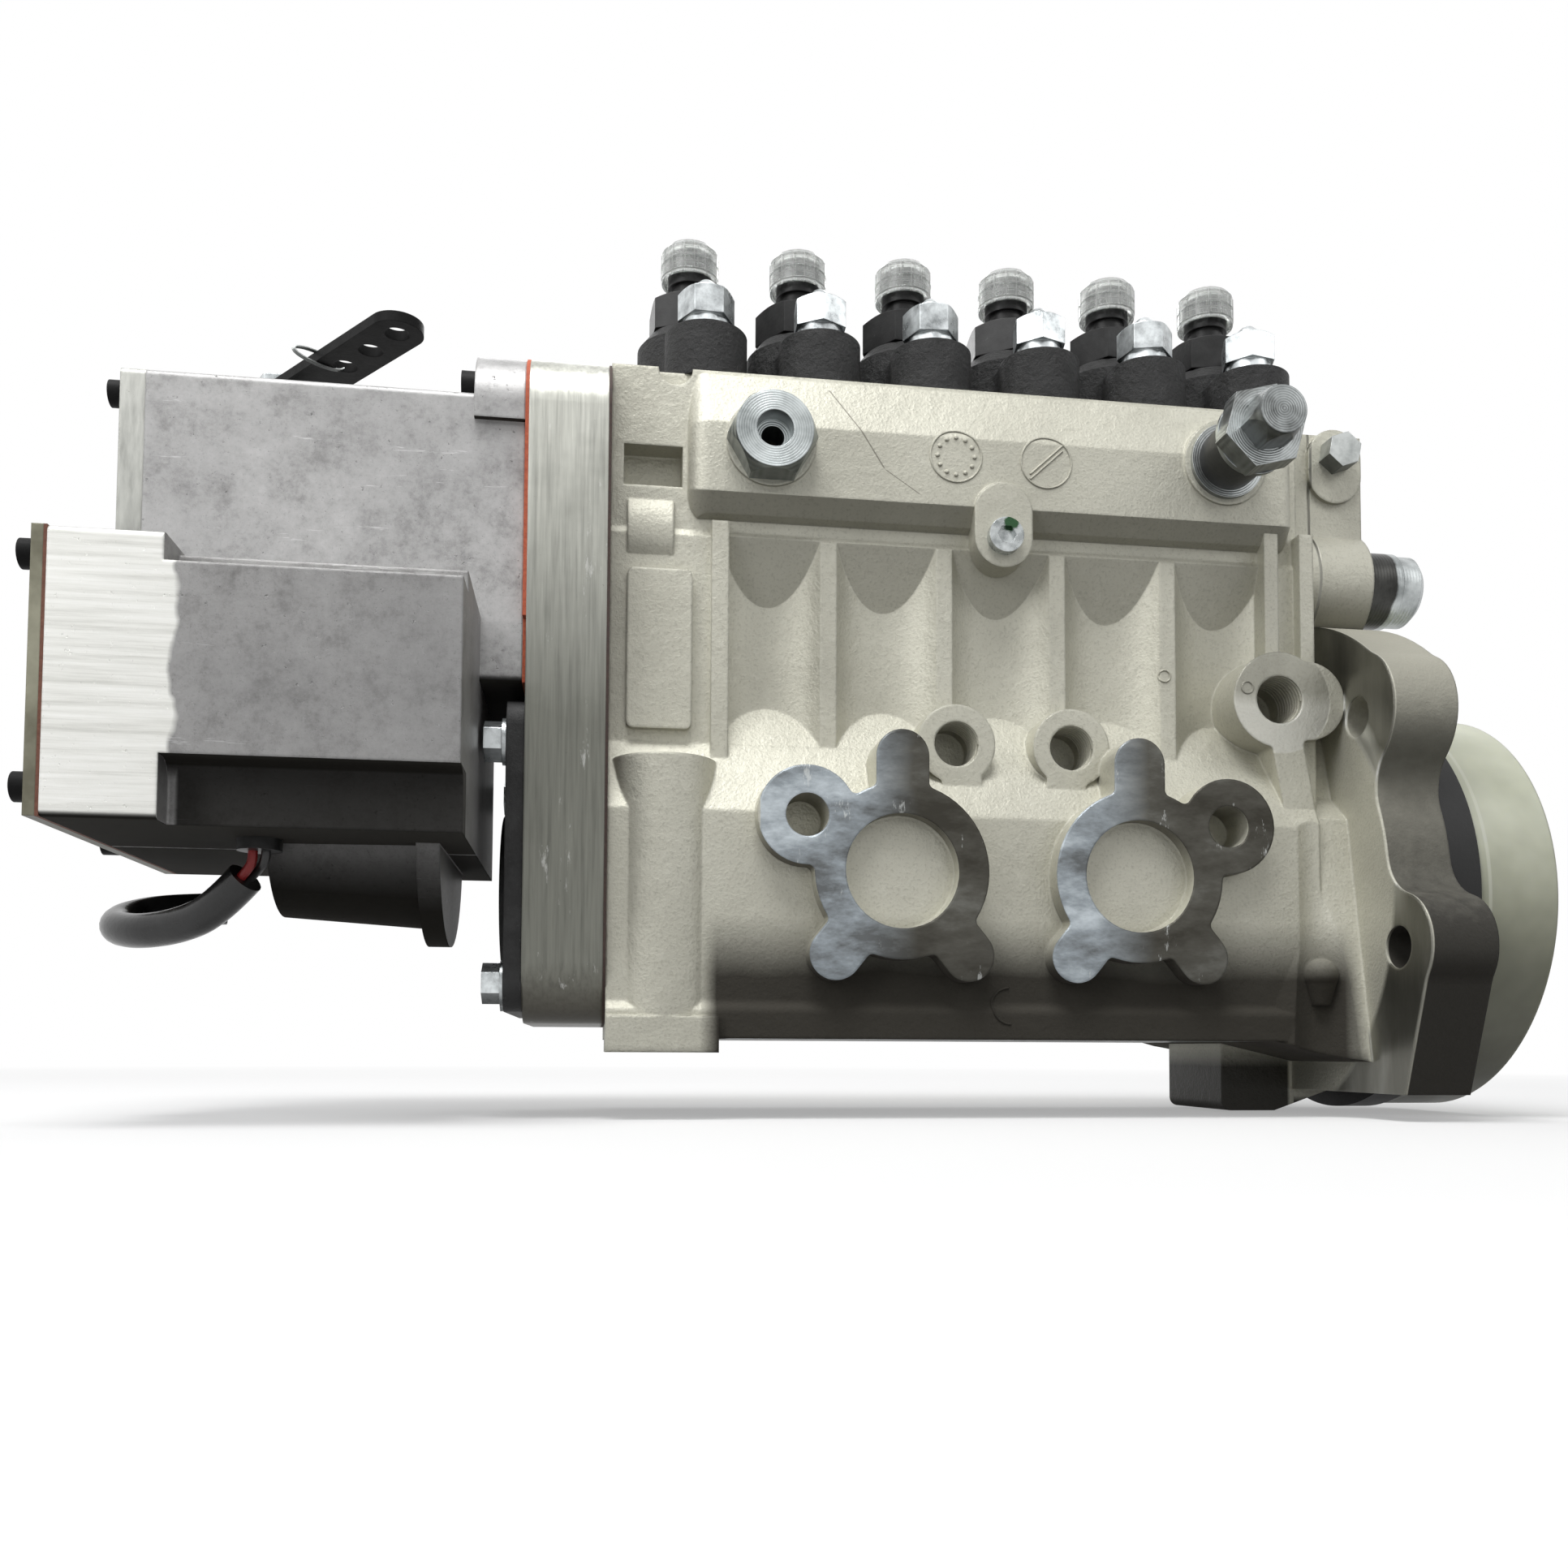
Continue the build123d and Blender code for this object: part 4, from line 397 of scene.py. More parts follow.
# %% Pump body
def scratch_line(f, x, z):
    # distance from the line through each pair of points, kept between their heights
    marks = None
    for (x1, z1), (x2, z2) in zip(scratch_points, scratch_points[1:]):
        slope = (x2 - x1) / (z2 - z1)
        off = (x - ((z - z1) * slope + x1)).maths("ABSOLUTE")
        part = f.below(off, *scratch_half_width) * f.inside(z, min(z1, z2), max(z1, z2))
        marks = part if marks is None else marks.maths("MAXIMUM", part)
    return marks


def pad_tones(f, x, streak):
    # painted reflection on the cut faces: dark, with blue white streaks on the left part of each pad
    left_1 = f.below(x + streak * 0.012, *left_pad_reflection_end)
    left_2 = f.band(x, *right_pad_start) * f.below(x + streak * 0.012, *right_pad_reflection_end)
    left = left_1.maths("MAXIMUM", left_2)
    dark = f.ramp(streak, [
        (0.35, (0.045, 0.042, 0.034)), (0.55, (0.085, 0.082, 0.070)), (0.72, (0.15, 0.15, 0.135))])
    light = f.ramp(streak, [
        (0.38, (0.14, 0.15, 0.155)), (0.52, (0.33, 0.37, 0.40)), (0.66, (0.60, 0.66, 0.70))])
    nicks = f.band(f.noise(210.0, 6.0, 0.75, f.stretched(1.0, 1.0, 0.3)), 0.62, 0.67)
    return f.mix(nicks * 0.5, f.mix(left * 0.85, dark, light), (0.70, 0.72, 0.70))


def milled_back_tones(f, z, cut, from_axis):
    # milled grey, with a bright scraped strip near the body
    milled = f.ramp(cut, [
        (0.3, (0.11, 0.107, 0.090)), (0.55, (0.20, 0.197, 0.170)), (0.75, (0.32, 0.318, 0.285))])
    scraped = f.below(from_axis + cut * 0.010, *scraped_radius) * f.band(z, -0.010, 0.010)
    return f.mix(scraped * 0.8, milled, (0.74, 0.74, 0.70))


def pump_body_finish():
    f = Finish("sand_cast_pump_body")
    x, y, z = f.split(f.spot)
    slow = f.noise(22.0, 4.0)
    fine = f.noise(1150.0, 3.0, 0.65)
    mid = f.noise(260.0, 3.0)
    cast = f.ramp(slow, champagne)
    cast = f.mix(f.band(fine, 0.52, 0.70) * 0.34, cast, (0.28, 0.27, 0.22))
    cast = f.mix(f.band(mid, 0.60, 0.74) * 0.18, cast, (0.78, 0.77, 0.68))
    scratch = scratch_line(f, x, z) * f.in_front(y, *scratch_front)
    cast = f.mix(scratch * 0.7, cast, (0.10, 0.09, 0.07))
    # painted shade: faces that look down are darkened, less so high up
    painted_shade_down_faces = f.faces_down()
    cast = f.mix(painted_shade_down_faces * (0.9 - f.band(z, 0.0, 0.05) * 0.55), cast, painted_underside_shade)

    # painted shade: the low flank between the column and the flange tucks under, and is darkened
    # here
    flank_shade = f.band(0.0 - z + slow * 0.010, *flank_depth) * f.inside(x, *flank_x, 0.005)
    flank_shade = flank_shade * f.in_front(y, *flank_front)
    cast = f.mix(flank_shade * 0.95, cast, (0.022, 0.018, 0.013))

    # painted shade: the foot under the drive end is darkened
    foot_shade = f.below(z, *foot_top_z) * f.below(x, *foot_right_x)
    cast = f.mix(foot_shade * 0.95, cast, (0.012, 0.010, 0.008))

    # painted shade: the rim of the flange is darkened, most of all low down
    from_axis = away_from(y, z, (0.0, 0.0))
    rim = f.inside(x, *rim_x) * f.band(from_axis, *rim_radius) * f.below(z, *rim_top_z)
    rim_shade_rise = f.band(z + mid * 0.02, 0.0, 0.065)
    cast = f.mix(rim * 0.95, cast, f.mix(rim_shade_rise, (0.008, 0.006, 0.004), (0.38, 0.37, 0.31)))

    # cut faces: the back of the flange, the two pump pads and the large boss
    back = f.inside(x, *flange_back_x) * f.band(from_axis, *flange_back_radius)
    cut = f.noise(46.0, 5.0, 0.62, f.stretched(1.0, 1.0, 0.22))
    pads = f.in_front(y, *pad_front) * f.inside(x, *pads_x) * f.inside(z, *pads_z)
    streak = f.noise(42.0, 7.0, 0.68, f.node("ShaderNodeMapping", {}, {
        "Vector": f.spot, "Rotation": (0.0, math.radians(35), 0.0), "Scale": (0.8, 1.0, 1.9)}))
    boss_face = f.in_front(y, *large_boss_front)
    boss_face = boss_face * f.below(away_from(x, z, large_boss), *large_boss_radius)
    milled = back.maths("MAXIMUM", boss_face * 0.5)
    colour = f.mix(milled, cast, milled_back_tones(f, z, cut, from_axis))
    colour = f.mix(pads, colour, pad_tones(f, x, streak))

    smooth = milled.maths("MAXIMUM", pads)
    height = (fine * 0.6 + mid * 0.8) * (1.0 - smooth * 0.85) + (cut + streak) * smooth * 0.25
    return f.skin({
        "Base Color": colour,
        "Metallic": 0.34 + smooth * 0.5 - (flank_shade + painted_shade_down_faces + rim * 0.6) * 0.25,
        "Roughness": 0.42 + slow * 0.10 - smooth * 0.14 + (flank_shade + painted_shade_down_faces + rim * 0.5) * 0.4,
        "Specular IOR Level": 0.35,
        "Normal": f.bump(height, 0.00036, 0.8, f.rounded(0.0011)),
    })


housing_skin = pump_body_finish()
print("pump body nodes", len(housing_skin.node_tree.nodes))

# %% [markdown]
# ## Milled plate
# The plate between the pump and the governor is milled all over. The cutter leaves fine
# upright lines, and the light slides over them in streaks. The lines are a noise that is
# stretched a lot along the cut. It moves the colour and the roughness. The upper end is
# painted brighter as a painted light, faces that look down get a painted shade, and small
# dark spots come from the casting under the cut.


# %% Milled plate
painted_light_z = (0.07, 0.15)


def milled_plate(name, low, high, stretch):
    f = Finish(name)
    z = f.split(f.spot)[2]
    lines = f.noise(60.0, 5.0, 0.6, f.stretched(*stretch))
    cloud = f.noise(30.0, 4.0, 0.65)
    pits = f.band(f.noise(520.0, 4.0, 0.8), 0.66, 0.72)
    nicks = f.band(f.noise(170.0, 6.0, 0.7, f.stretched(1.0, 1.0, 0.25)), 0.62, 0.67)
    # painted light: the upper end is brighter
    rise = f.band(z + cloud * 0.05, *painted_light_z)
    base = f.mix(rise, low, high)
    shade = f.ramp(lines, [(0.25, grey(0.62)), (0.5, grey(0.92)), (0.75, grey(1.15))])
    base = f.mix(1.0, base, shade, "MULTIPLY")
    base = f.mix(f.band(cloud, 0.5, 0.7) * 0.35, base, darker(low, 0.6))
    base = f.mix(pits * 0.55, base, (0.05, 0.05, 0.045))
    # painted shade on faces that look down
    base = f.mix(f.faces_down() * 0.7, base, painted_underside_shade)
    return f.skin({
        "Base Color": f.mix(nicks * 0.35, base, (0.80, 0.80, 0.78)),
        "Metallic": 0.7,
        "Roughness": 0.26 + lines * 0.22,
        "Normal": f.bump(lines + nicks * 0.3 - pits * 0.5, 0.00010, 0.5, f.rounded(0.0008)),
    })


plate_skin = milled_plate(
    "milled_adapter_plate", (0.20, 0.203, 0.175), (0.58, 0.585, 0.53), (14.0, 14.0, 0.5))
cover_skin = milled_plate(
    "milled_side_cover", (0.34, 0.345, 0.32), (0.52, 0.525, 0.49), (6.0, 6.0, 1.2))
print("milled plates made")

# %% [markdown]
# ## Die cast governor and actuator
# Both housings are die cast. Their skin is greyer than the pump body, mottled with dark clouds
# and pin holes, with fine hair scratches from handling. Noises of different sizes, pushed
# through steep ramps, make the clouds, the pin holes and the hairs. The actuator was faced off
# on its left end, which leaves a bright strip with level scratches and a wavy edge, and its
# top step is bright as well.


# %% Die casting
strip_end_x = (-0.3396, -0.3384)
actuator_front = (0.0942, 0.0946)
ledge_front = (0.075, 0.076)
ledge_z = (0.0640, 0.0722)
groove_z, groove_y = (0.0040, 0.0216), (-0.0946, -0.0800)
groove_left_x = (-0.3440, -0.3430)


def die_casting(name, tone, machined_strip):
    f = Finish(name)
    x, y, z = f.split(f.spot)
    cloud = f.noise(95.0, 12.0, 0.80)
    broad = f.noise(16.0, 4.0)
    pits = f.band(f.noise(560.0, 5.0, 0.82), 0.62, 0.70)
    speck = f.band(f.noise(1000.0, 4.0, 0.75), 0.56, 0.70)
    hair = f.band(f.noise(90.0, 6.0, 0.8, f.stretched(0.15, 1.0, 2.4)), 0.62, 0.64)
    shades = ((0.34, 0.62), (0.5, 1.0), (0.68, 1.2))
    base = f.ramp(cloud, [(place, grey(tone * share, 0.004)) for place, share in shades])
    base = f.mix(f.band(broad, 0.42, 0.75) * 0.45, base, grey(tone * 0.66))
    base = f.mix(speck * 0.38, base, grey(tone * 0.35))
    base = f.mix(pits * 0.7, base, grey(tone * 0.16))
    base = f.mix(hair * 0.5, base, grey(min(tone * 1.7, 0.9)))
    strip = 0.0
    if machined_strip:
        across = f.noise(40.0, 6.0, 0.7, f.stretched(0.5, 1.0, 16.0))
        wave = f.noise(60.0, 3.0)
        left = f.below(x + wave * 0.008, *strip_end_x) * f.in_front(y, *actuator_front)
        ledge = f.in_front(y, *ledge_front) * f.inside(z, *ledge_z) * f.faces_up()
        strip = left.maths("MAXIMUM", ledge)
        bright = f.ramp(across, [
            (0.3, (0.62, 0.62, 0.58)), (0.5, (0.82, 0.82, 0.78)), (0.7, (0.93, 0.93, 0.90))])
        bright = f.mix(pits * 0.4, bright, (0.18, 0.18, 0.16))
        base = f.mix(strip, base, bright)
    # painted shade: faces that look down, and the groove low on the actuator's front, are darkened
    under = f.faces_down()
    if machined_strip:
        groove_shade = f.inside(z, *groove_z) * f.inside(y, *groove_y) * f.band(x, *groove_left_x)
        under = under.maths("MAXIMUM", groove_shade * 0.85)
    base = f.mix(under * 0.96, base, (0.018, 0.016, 0.012))
    return f.skin({
        "Base Color": base,
        "Metallic": 0.5 - under * 0.5,
        "Roughness": 0.34 + cloud * 0.20 + under * 0.46,
        "Specular IOR Level": 0.15,
        "Normal": f.bump(cloud * 0.5 - pits * 0.8 + strip * 0.2, 0.0003, 0.5, f.rounded(0.0010)),
    })


governor_skin = die_casting("die_cast_governor", 0.43, False)
actuator_skin = die_casting("die_cast_actuator", 0.32, True)
print("die castings made")

# %% [markdown]
# ## Zinc, steel and black finishes
# Nuts, washers and fittings are zinc plated: bright, a little blue, with darker smudges and a
# painted shade on faces that look down. Turned parts show fine rings round their axis, made
# from the distance to that axis. The delivery flanges are rough black castings, and the valve
# holders above them are smoother black bars with a light wear on the edges.


# %% Metal finishes
turning_ring_waves = 9000.0


def plated(name, colour_low, colour_high, rough, bump=0.00006, scale=120.0, axis=None):
    f = Finish(name)
    x, _, z = f.split(f.spot)
    smudge = f.noise(scale, 5.0, 0.65)
    lines = f.noise(420.0, 3.0, 0.6, f.stretched(1.0, 1.0, 0.2))
    height = lines + smudge
    shade = smudge
    if axis is not None:
        rings = (away_from(x, z, axis) * turning_ring_waves).maths("SINE")
        height = rings * 0.5 + smudge
        shade = smudge + rings * 0.05
    colour = f.ramp(shade, [(0.32, colour_low), (0.62, colour_high)])
    # painted shade on faces that look down
    colour = f.mix(f.faces_down() * 0.7, colour, darker(colour_low, 0.25))
    return f.skin({
        "Base Color": colour,
        "Metallic": 0.9,
        "Roughness": rough + smudge * 0.18 + lines * 0.06,
        "Normal": f.bump(height, bump, 0.5, f.rounded(0.0004)),
    })


def rough_black(name, tone, depth, rough, round_edge=0.0006, shine=0.3):
    f = Finish(name)
    grain = f.noise(520.0, 5.0, 0.75)
    lump = f.noise(150.0, 4.0)
    rub = f.band(f.noise(320.0, 6.0, 0.85), 0.62, 0.72)
    base = f.ramp(lump, [(0.3, grey(tone * 0.6)), (0.7, grey(tone * 1.5))])
    colour = f.mix(rub * 0.5, base, grey(min(tone * 6.0, 0.3)))
    return f.skin({
        "Base Color": colour,
        "Metallic": shine * 0.3,
        "Roughness": rough + grain * 0.2,
        "Specular IOR Level": shine,
        "Normal": f.bump(grain + lump * 0.6, depth, 0.8, f.rounded(round_edge)),
    })


# %% Make the metals
inlet_axis = (-0.1958, 0.1285)
overflow_axis = (-0.0565, 0.1319)
zinc = plated("bright_zinc", (0.21, 0.225, 0.23), (0.78, 0.82, 0.83), 0.17)
dull_zinc = plated("dull_zinc", (0.26, 0.275, 0.27), (0.50, 0.52, 0.51), 0.26)
turned_zinc = plated(
    "turned_zinc_inlet", (0.22, 0.24, 0.24), (0.60, 0.64, 0.64), 0.20, 0.00010, 60.0, inlet_axis)
turned_union = plated(
    "turned_zinc_union", (0.14, 0.145, 0.14), (0.52, 0.55, 0.55), 0.20, 0.00010, 60.0, overflow_axis)
dull_bolt = plated(
    "turned_zinc_bolt", (0.05, 0.052, 0.05), (0.34, 0.36, 0.36), 0.24, 0.00010, 60.0, overflow_axis)
ground_steel = plated("ground_steel", (0.34, 0.34, 0.34), (0.58, 0.58, 0.57), 0.18)
olive_cover = plated(
    "olive_zinc_cover", (0.12, 0.115, 0.085), (0.24, 0.235, 0.18), 0.34, 0.00005, 40.0)
black_casting = rough_black("black_phosphated_casting", 0.022, 0.0013, 0.44)
black_bar = rough_black("black_valve_holder", 0.022, 0.00012, 0.26, 0.0004)
black_screws = rough_black("black_oxide_screw", 0.008, 0.0001, 0.40, 0.0003, 0.1)
dark_plate = rough_black("dark_end_cover", 0.030, 0.0003, 0.42)
print("metal finishes made", len(bpy.data.materials))


# %% Two painted fittings
cap_ring_waves = 6000.0
dipped_end_x = (0.0072, 0.0080)
guide_screw_axis = (-0.1250, 0.1082)
guide_screw_front = (0.040, 0.0405)
dab_radius = (0.0034, 0.0040)


def rack_cap_finish():
    # black up to a wavy line, bright metal beyond it
    f = Finish("half_dipped_rack_cap")
    x = f.split(f.spot)[0]
    smudge = f.noise(140.0, 4.0)
    rings = (x * cap_ring_waves).maths("SINE")
    bright = f.ramp(smudge, [(0.35, (0.28, 0.30, 0.30)), (0.65, (0.58, 0.61, 0.61))])
    dark = f.ramp(smudge, [(0.35, (0.030, 0.030, 0.028)), (0.7, (0.075, 0.075, 0.070))])
    share = f.band(x + smudge * 0.002, *dipped_end_x)
    return f.skin({
        "Base Color": f.mix(share, dark, bright),
        "Metallic": 0.8,
        "Roughness": 0.24 + smudge * 0.2,
        "Normal": f.bump(rings * 0.3 + smudge, 0.00008, 0.5, f.rounded(0.0006)),
    })


def guide_screw_finish():
    # zinc with a dab of green inspection paint
    f = Finish("zinc_screw_with_green_dab")
    x, y, z = f.split(f.spot)
    smudge = f.noise(240.0, 4.0)
    bright = f.ramp(smudge, [(0.35, (0.26, 0.28, 0.28)), (0.65, (0.62, 0.65, 0.65))])
    off = away_from(x, z, guide_screw_axis) + smudge * 0.003
    dab = f.below(off, *dab_radius) * f.in_front(y, *guide_screw_front)
    return f.skin({
        "Base Color": f.mix(dab, bright, (0.010, 0.085, 0.018)),
        "Metallic": 0.85 - dab * 0.8,
        "Roughness": 0.2 + smudge * 0.15,
        "Normal": f.bump(smudge + dab, 0.00008, 0.5, f.rounded(0.0004)),
    })


rack_cap_skin = rack_cap_finish()
guide_screw_skin = guide_screw_finish()
print("fittings painted")

# %% [markdown]
# ## Rubber, gaskets and plastics
# Gaskets are fibre sheets: the one on the governor side is bright orange red, the others are
# dark. Seals and the cable sleeve are black rubber. The bearing retainer behind the drive cap
# is black too, which also stands in for painted shade behind the cap. The transit caps are thin
# clear plastic with a grid of fine ribs painted brighter as a highlight, and the big drive cap is
# milky, slightly green, and painted darker low down as a shade, where less light gets in.


# %% Soft finishes
def rubber(name, tone, rough, coat=0.0):
    f = Finish(name)
    dust = f.noise(210.0, 4.0)
    ring = f.noise(700.0, 2.0)
    colour = f.ramp(dust, [(0.35, grey(tone * 0.7)), (0.75, grey(tone * 1.8))])
    return f.skin({
        "Base Color": colour,
        "Roughness": rough + dust * 0.15,
        "Specular IOR Level": 0.35,
        "Coat Weight": coat,
        "Normal": f.bump(ring + dust, 0.00010, 0.5),
    })


def fibre(name, dark, light):
    f = Finish(name)
    grain = f.noise(600.0, 5.0, 0.7)
    colour = f.ramp(grain, [(0.35, dark), (0.7, light)])
    return f.skin({
        "Base Color": colour,
        "Roughness": 0.62 + grain * 0.2,
        "Normal": f.bump(grain, 0.0002, 0.6),
    })


def plain_plastic(name, low, high, rough):
    f = Finish(name)
    drift = f.noise(90.0, 3.0)
    colour = f.ramp(drift, [(0.3, low), (0.7, high)])
    return f.skin({
        "Base Color": colour,
        "Roughness": rough + drift * 0.12,
        "Normal": f.bump(drift, 0.00005, 0.4),
    })


# %% Clear and milky caps
cap_level_waves, cap_upright_waves = 2600.0, 1795.2
drive_cap_edge_x = (0.0128, 0.0142)


def clear_plastic(name):
    f = Finish(name)
    x, _, z = f.split(f.spot)
    drift = f.noise(260.0, 3.0)
    levels = f.band((z * cap_level_waves).maths("SINE"), 0.80, 0.92)
    uprights = f.band((x * cap_upright_waves).maths("SINE"), 0.86, 0.95)
    ribs = levels.maths("MAXIMUM", uprights)
    base = f.ramp(drift, [(0.3, (0.62, 0.64, 0.62)), (0.7, (0.90, 0.92, 0.90))])
    # painted highlight: the ribs are painted brighter
    return f.skin({
        "Base Color": f.mix(ribs * 0.8, base, (0.96, 0.97, 0.95)),
        "Roughness": 0.14 + drift * 0.1,
        "Transmission Weight": 0.72,
        "IOR": 1.4,
        "Normal": f.bump(ribs + drift * 0.3, 0.0003, 0.7),
    })


def milky_plastic(name):
    f = Finish(name)
    x, _, z = f.split(f.spot)
    drift = f.noise(40.0, 3.0)
    swirl = f.noise(160.0, 4.0)
    low = f.ramp(drift, [(0.3, (0.17, 0.165, 0.10)), (0.7, (0.25, 0.245, 0.16))])
    high = f.ramp(drift, [(0.3, (0.50, 0.52, 0.40)), (0.7, (0.66, 0.68, 0.54))])
    edge = f.inside(x, *drive_cap_edge_x)
    # painted shade: darker low down and lighter high up
    colour = f.mix(f.band(z + drift * 0.03, -0.045, 0.045), low, high)
    return f.skin({
        "Base Color": f.mix(edge * 0.5, colour, (0.80, 0.81, 0.70)),
        "Roughness": 0.28 + swirl * 0.15,
        "Subsurface Weight": 0.3,
        "Subsurface Radius": (0.01, 0.01, 0.006),
        "Subsurface Scale": 0.3,
        "Normal": f.bump(swirl, 0.0001, 0.4, f.rounded(0.001)),
    })


# %% Make the soft finishes
black_rubber = rubber("black_rubber", 0.014, 0.35)
# black, and standing in partly for painted shade behind the drive cap
retainer_skin = rubber("glossy_black_retainer", 0.004, 0.42)
sleeve_skin = rubber("glossy_cable_sleeve", 0.012, 0.22, 0.3)
red_gasket = fibre("orange_red_fibre_gasket", (0.42, 0.07, 0.03), (0.66, 0.16, 0.07))
dark_gasket = fibre("dark_fibre_gasket", (0.030, 0.018, 0.014), (0.075, 0.045, 0.035))
brown_gasket = fibre("brown_fibre_gasket", (0.14, 0.05, 0.03), (0.26, 0.11, 0.07))
red_plastic = plain_plastic("red_wire_cover", (0.42, 0.015, 0.015), (0.60, 0.03, 0.03), 0.30)
black_plastic = plain_plastic("black_wire_cover", (0.010, 0.010, 0.010), (0.030, 0.030, 0.030), 0.28)
copper_lacquer = plain_plastic("lacquered_winding", (0.30, 0.10, 0.03), (0.48, 0.18, 0.06), 0.25)
clear_cap_skin = clear_plastic("clear_transit_cap")
milky_cap_skin = milky_plastic("milky_drive_cap")
print("finishes made", len(bpy.data.materials))

# %% [markdown]
# ## The locking wire on the stop lever
# A thin soft wire is wound twice round the stop lever. It is drawn as one line that goes
# round the lever's section, and it turns with the lever.

# %% Locking wire
wire_place = Vector((-0.3305, -0.0050, 0.1620))
lever_heading = math.radians(-49.8)
lever_half = (0.0082, 0.0020)
lock_wire_radius = 0.00035
lock_wire_turns, lock_wire_steps = 2, 16
lock_wire_pitch = 0.0009


def lock_wire_points():
    # a flat oval round the lever, which lies level
    along = Vector((math.cos(lever_heading), math.sin(lever_heading), 0))
    across = Vector((-along.y, along.x, 0))
    points = []
    for step in range(lock_wire_turns * lock_wire_steps + 1):
        angle = 2 * math.pi * step / lock_wire_steps
        side = across * (lever_half[0] * math.cos(angle))
        rise = Vector((0, 0, lever_half[1] * math.sin(angle)))
        creep = along * (lock_wire_pitch * step / lock_wire_steps)
        points.append(wire_place + creep + side + rise)
    return points


lock_wire = smooth_cord("lock_wire", lock_wire_points(), lock_wire_radius, "stop")


# %% [markdown]
# ## Marks cast into the pump body
# A mould leaves small raised marks: two rings with dots and bars on the gallery, a half ring
# low on the barrel and little circles on a rib and a boss. They are real shapes, not only
# bump. Each is a thin round line that follows the surface: every point is found by a ray that
# comes from the front and hits the body.


# %% Cast marks
date_marks = ((-0.1407, 0.1284), (-0.1130, 0.1283))
date_ring_radius = 0.0078
date_dots = 12
barrel_mark = (-0.1269, -0.0344)
barrel_mark_radius = 0.0052
small_marks = ((-0.0740, 0.0670), (-0.0513, 0.0624))
small_mark_radius = 0.0018
dot_radius = 0.0003
bar_half = (0.0050, 0.0046)
bar_shifts = (-0.0008, 0.0008)
mark_line = 0.00035
dot_line = 0.00045
ray_start_y = -0.3

housing_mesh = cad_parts["pump_housing"].data
body_surface = BVHTree.FromPolygons(
    [vertex.co for vertex in housing_mesh.vertices],
    [list(face.vertices) for face in housing_mesh.polygons])


def on_surface(x, z):
    return body_surface.ray_cast(Vector((x, ray_start_y, z)), Vector((0, 1, 0)))[0]


def raised_line(name, runs, thickness, closed=False):
    curve = new_curve(name, thickness, 3, not closed)
    for run in runs:
        add_run(curve, "POLY", [on_surface(x, z) for x, z in run], closed)
    print(name, "lines", len(runs))
    return as_mesh(name, curve, "housing")


def circle_run(centre, radius, start=0.0, turn=360.0, steps=40):
    angles = [math.radians(start + turn * i / steps) for i in range(steps + (turn < 360.0))]
    return [(centre[0] + radius * math.cos(a), centre[1] + radius * math.sin(a)) for a in angles]


ring_runs = [circle_run(centre, date_ring_radius) for centre in date_marks]
ring_runs += [circle_run(centre, small_mark_radius, steps=20) for centre in small_marks]
dotted, barred = date_marks
dot_places = circle_run(dotted, date_ring_radius * 0.72, steps=date_dots)
dot_runs = [circle_run(place, dot_radius, steps=8) for place in dot_places]
bar_runs = []
for bar_shift in bar_shifts:
    low_end = (barred[0] - bar_half[0], barred[1] - bar_half[1] + bar_shift)
    high_end = (barred[0] + bar_half[0], barred[1] + bar_half[1] + bar_shift)
    bar_runs.append([low_end, high_end])
half_run = circle_run(barrel_mark, barrel_mark_radius, 90.0, 180.0)
body_marks = [
    raised_line("cast_rings", ring_runs, mark_line, True),
    raised_line("cast_dots", dot_runs, dot_line, True),
    raised_line("cast_bars", bar_runs + [half_run], mark_line),
]

# %% [markdown]
# ## Ribs of the transit caps
# Each clear cap is moulded with fine upright ribs and two rings, which catch the light. They
# are thin lines of the same plastic round each cap.

# %% Transit cap ribs
first_valve_x, valve_pitch = -0.042, 0.035
valve_places = [first_valve_x - valve_pitch * i for i in range(6)]
cap_radius, cap_low_z, cap_high_z = 0.0090, 0.1990, 0.2068
cap_rib_radius, cap_rib_count = 0.00022, 14
cap_ring_steps = 36


def round_cap(x, steps):
    # places on the circle of the cap's wall
    angles = [2 * math.pi * i / steps for i in range(steps)]
    return [(x + cap_radius * math.cos(a), cap_radius * math.sin(a)) for a in angles]


def ribbed_cap(name, x):
    curve = new_curve(name, cap_rib_radius, 2)
    for place in round_cap(x, cap_rib_count):
        add_run(curve, "POLY", [(*place, cap_low_z), (*place, cap_high_z)])
    for z in (cap_low_z, (cap_low_z + cap_high_z) / 2):
        add_run(curve, "POLY", [(*place, z) for place in round_cap(x, cap_ring_steps)], True)
    return as_mesh(name, curve, "housing")


cap_lines = [ribbed_cap("cap_ribs_" + str(i + 1), x) for i, x in enumerate(valve_places)]
print("caps with ribs", len(cap_lines), "each", cap_rib_count, "uprights")

# %% [markdown]
# ## Threads in the open bosses
# The two small bosses and the large one have cut threads, which show as fine rings in their
# mouths. Each is one thin line wound like a spring just inside the wall of the bore.

# %% Boss threads
thread_line = 0.00035
thread_pitch = 0.0015
thread_steps = 28
small_bore_radius, small_bore_front_y, small_thread_depth = 0.00666, -0.0424, 0.0120
large_bore_radius, large_bore_front_y, large_thread_depth = 0.0073, -0.0442, 0.0140
small_bore = (small_bore_radius, small_bore_front_y, small_thread_depth)
large_bore = (large_bore_radius, large_bore_front_y, large_thread_depth)
boss_bores = (
    ("small_boss_thread_1", (-0.1408, 0.0424), *small_bore),
    ("small_boss_thread_2", (-0.1058, 0.0424), *small_bore),
    ("large_boss_thread", large_boss, *large_bore),
)


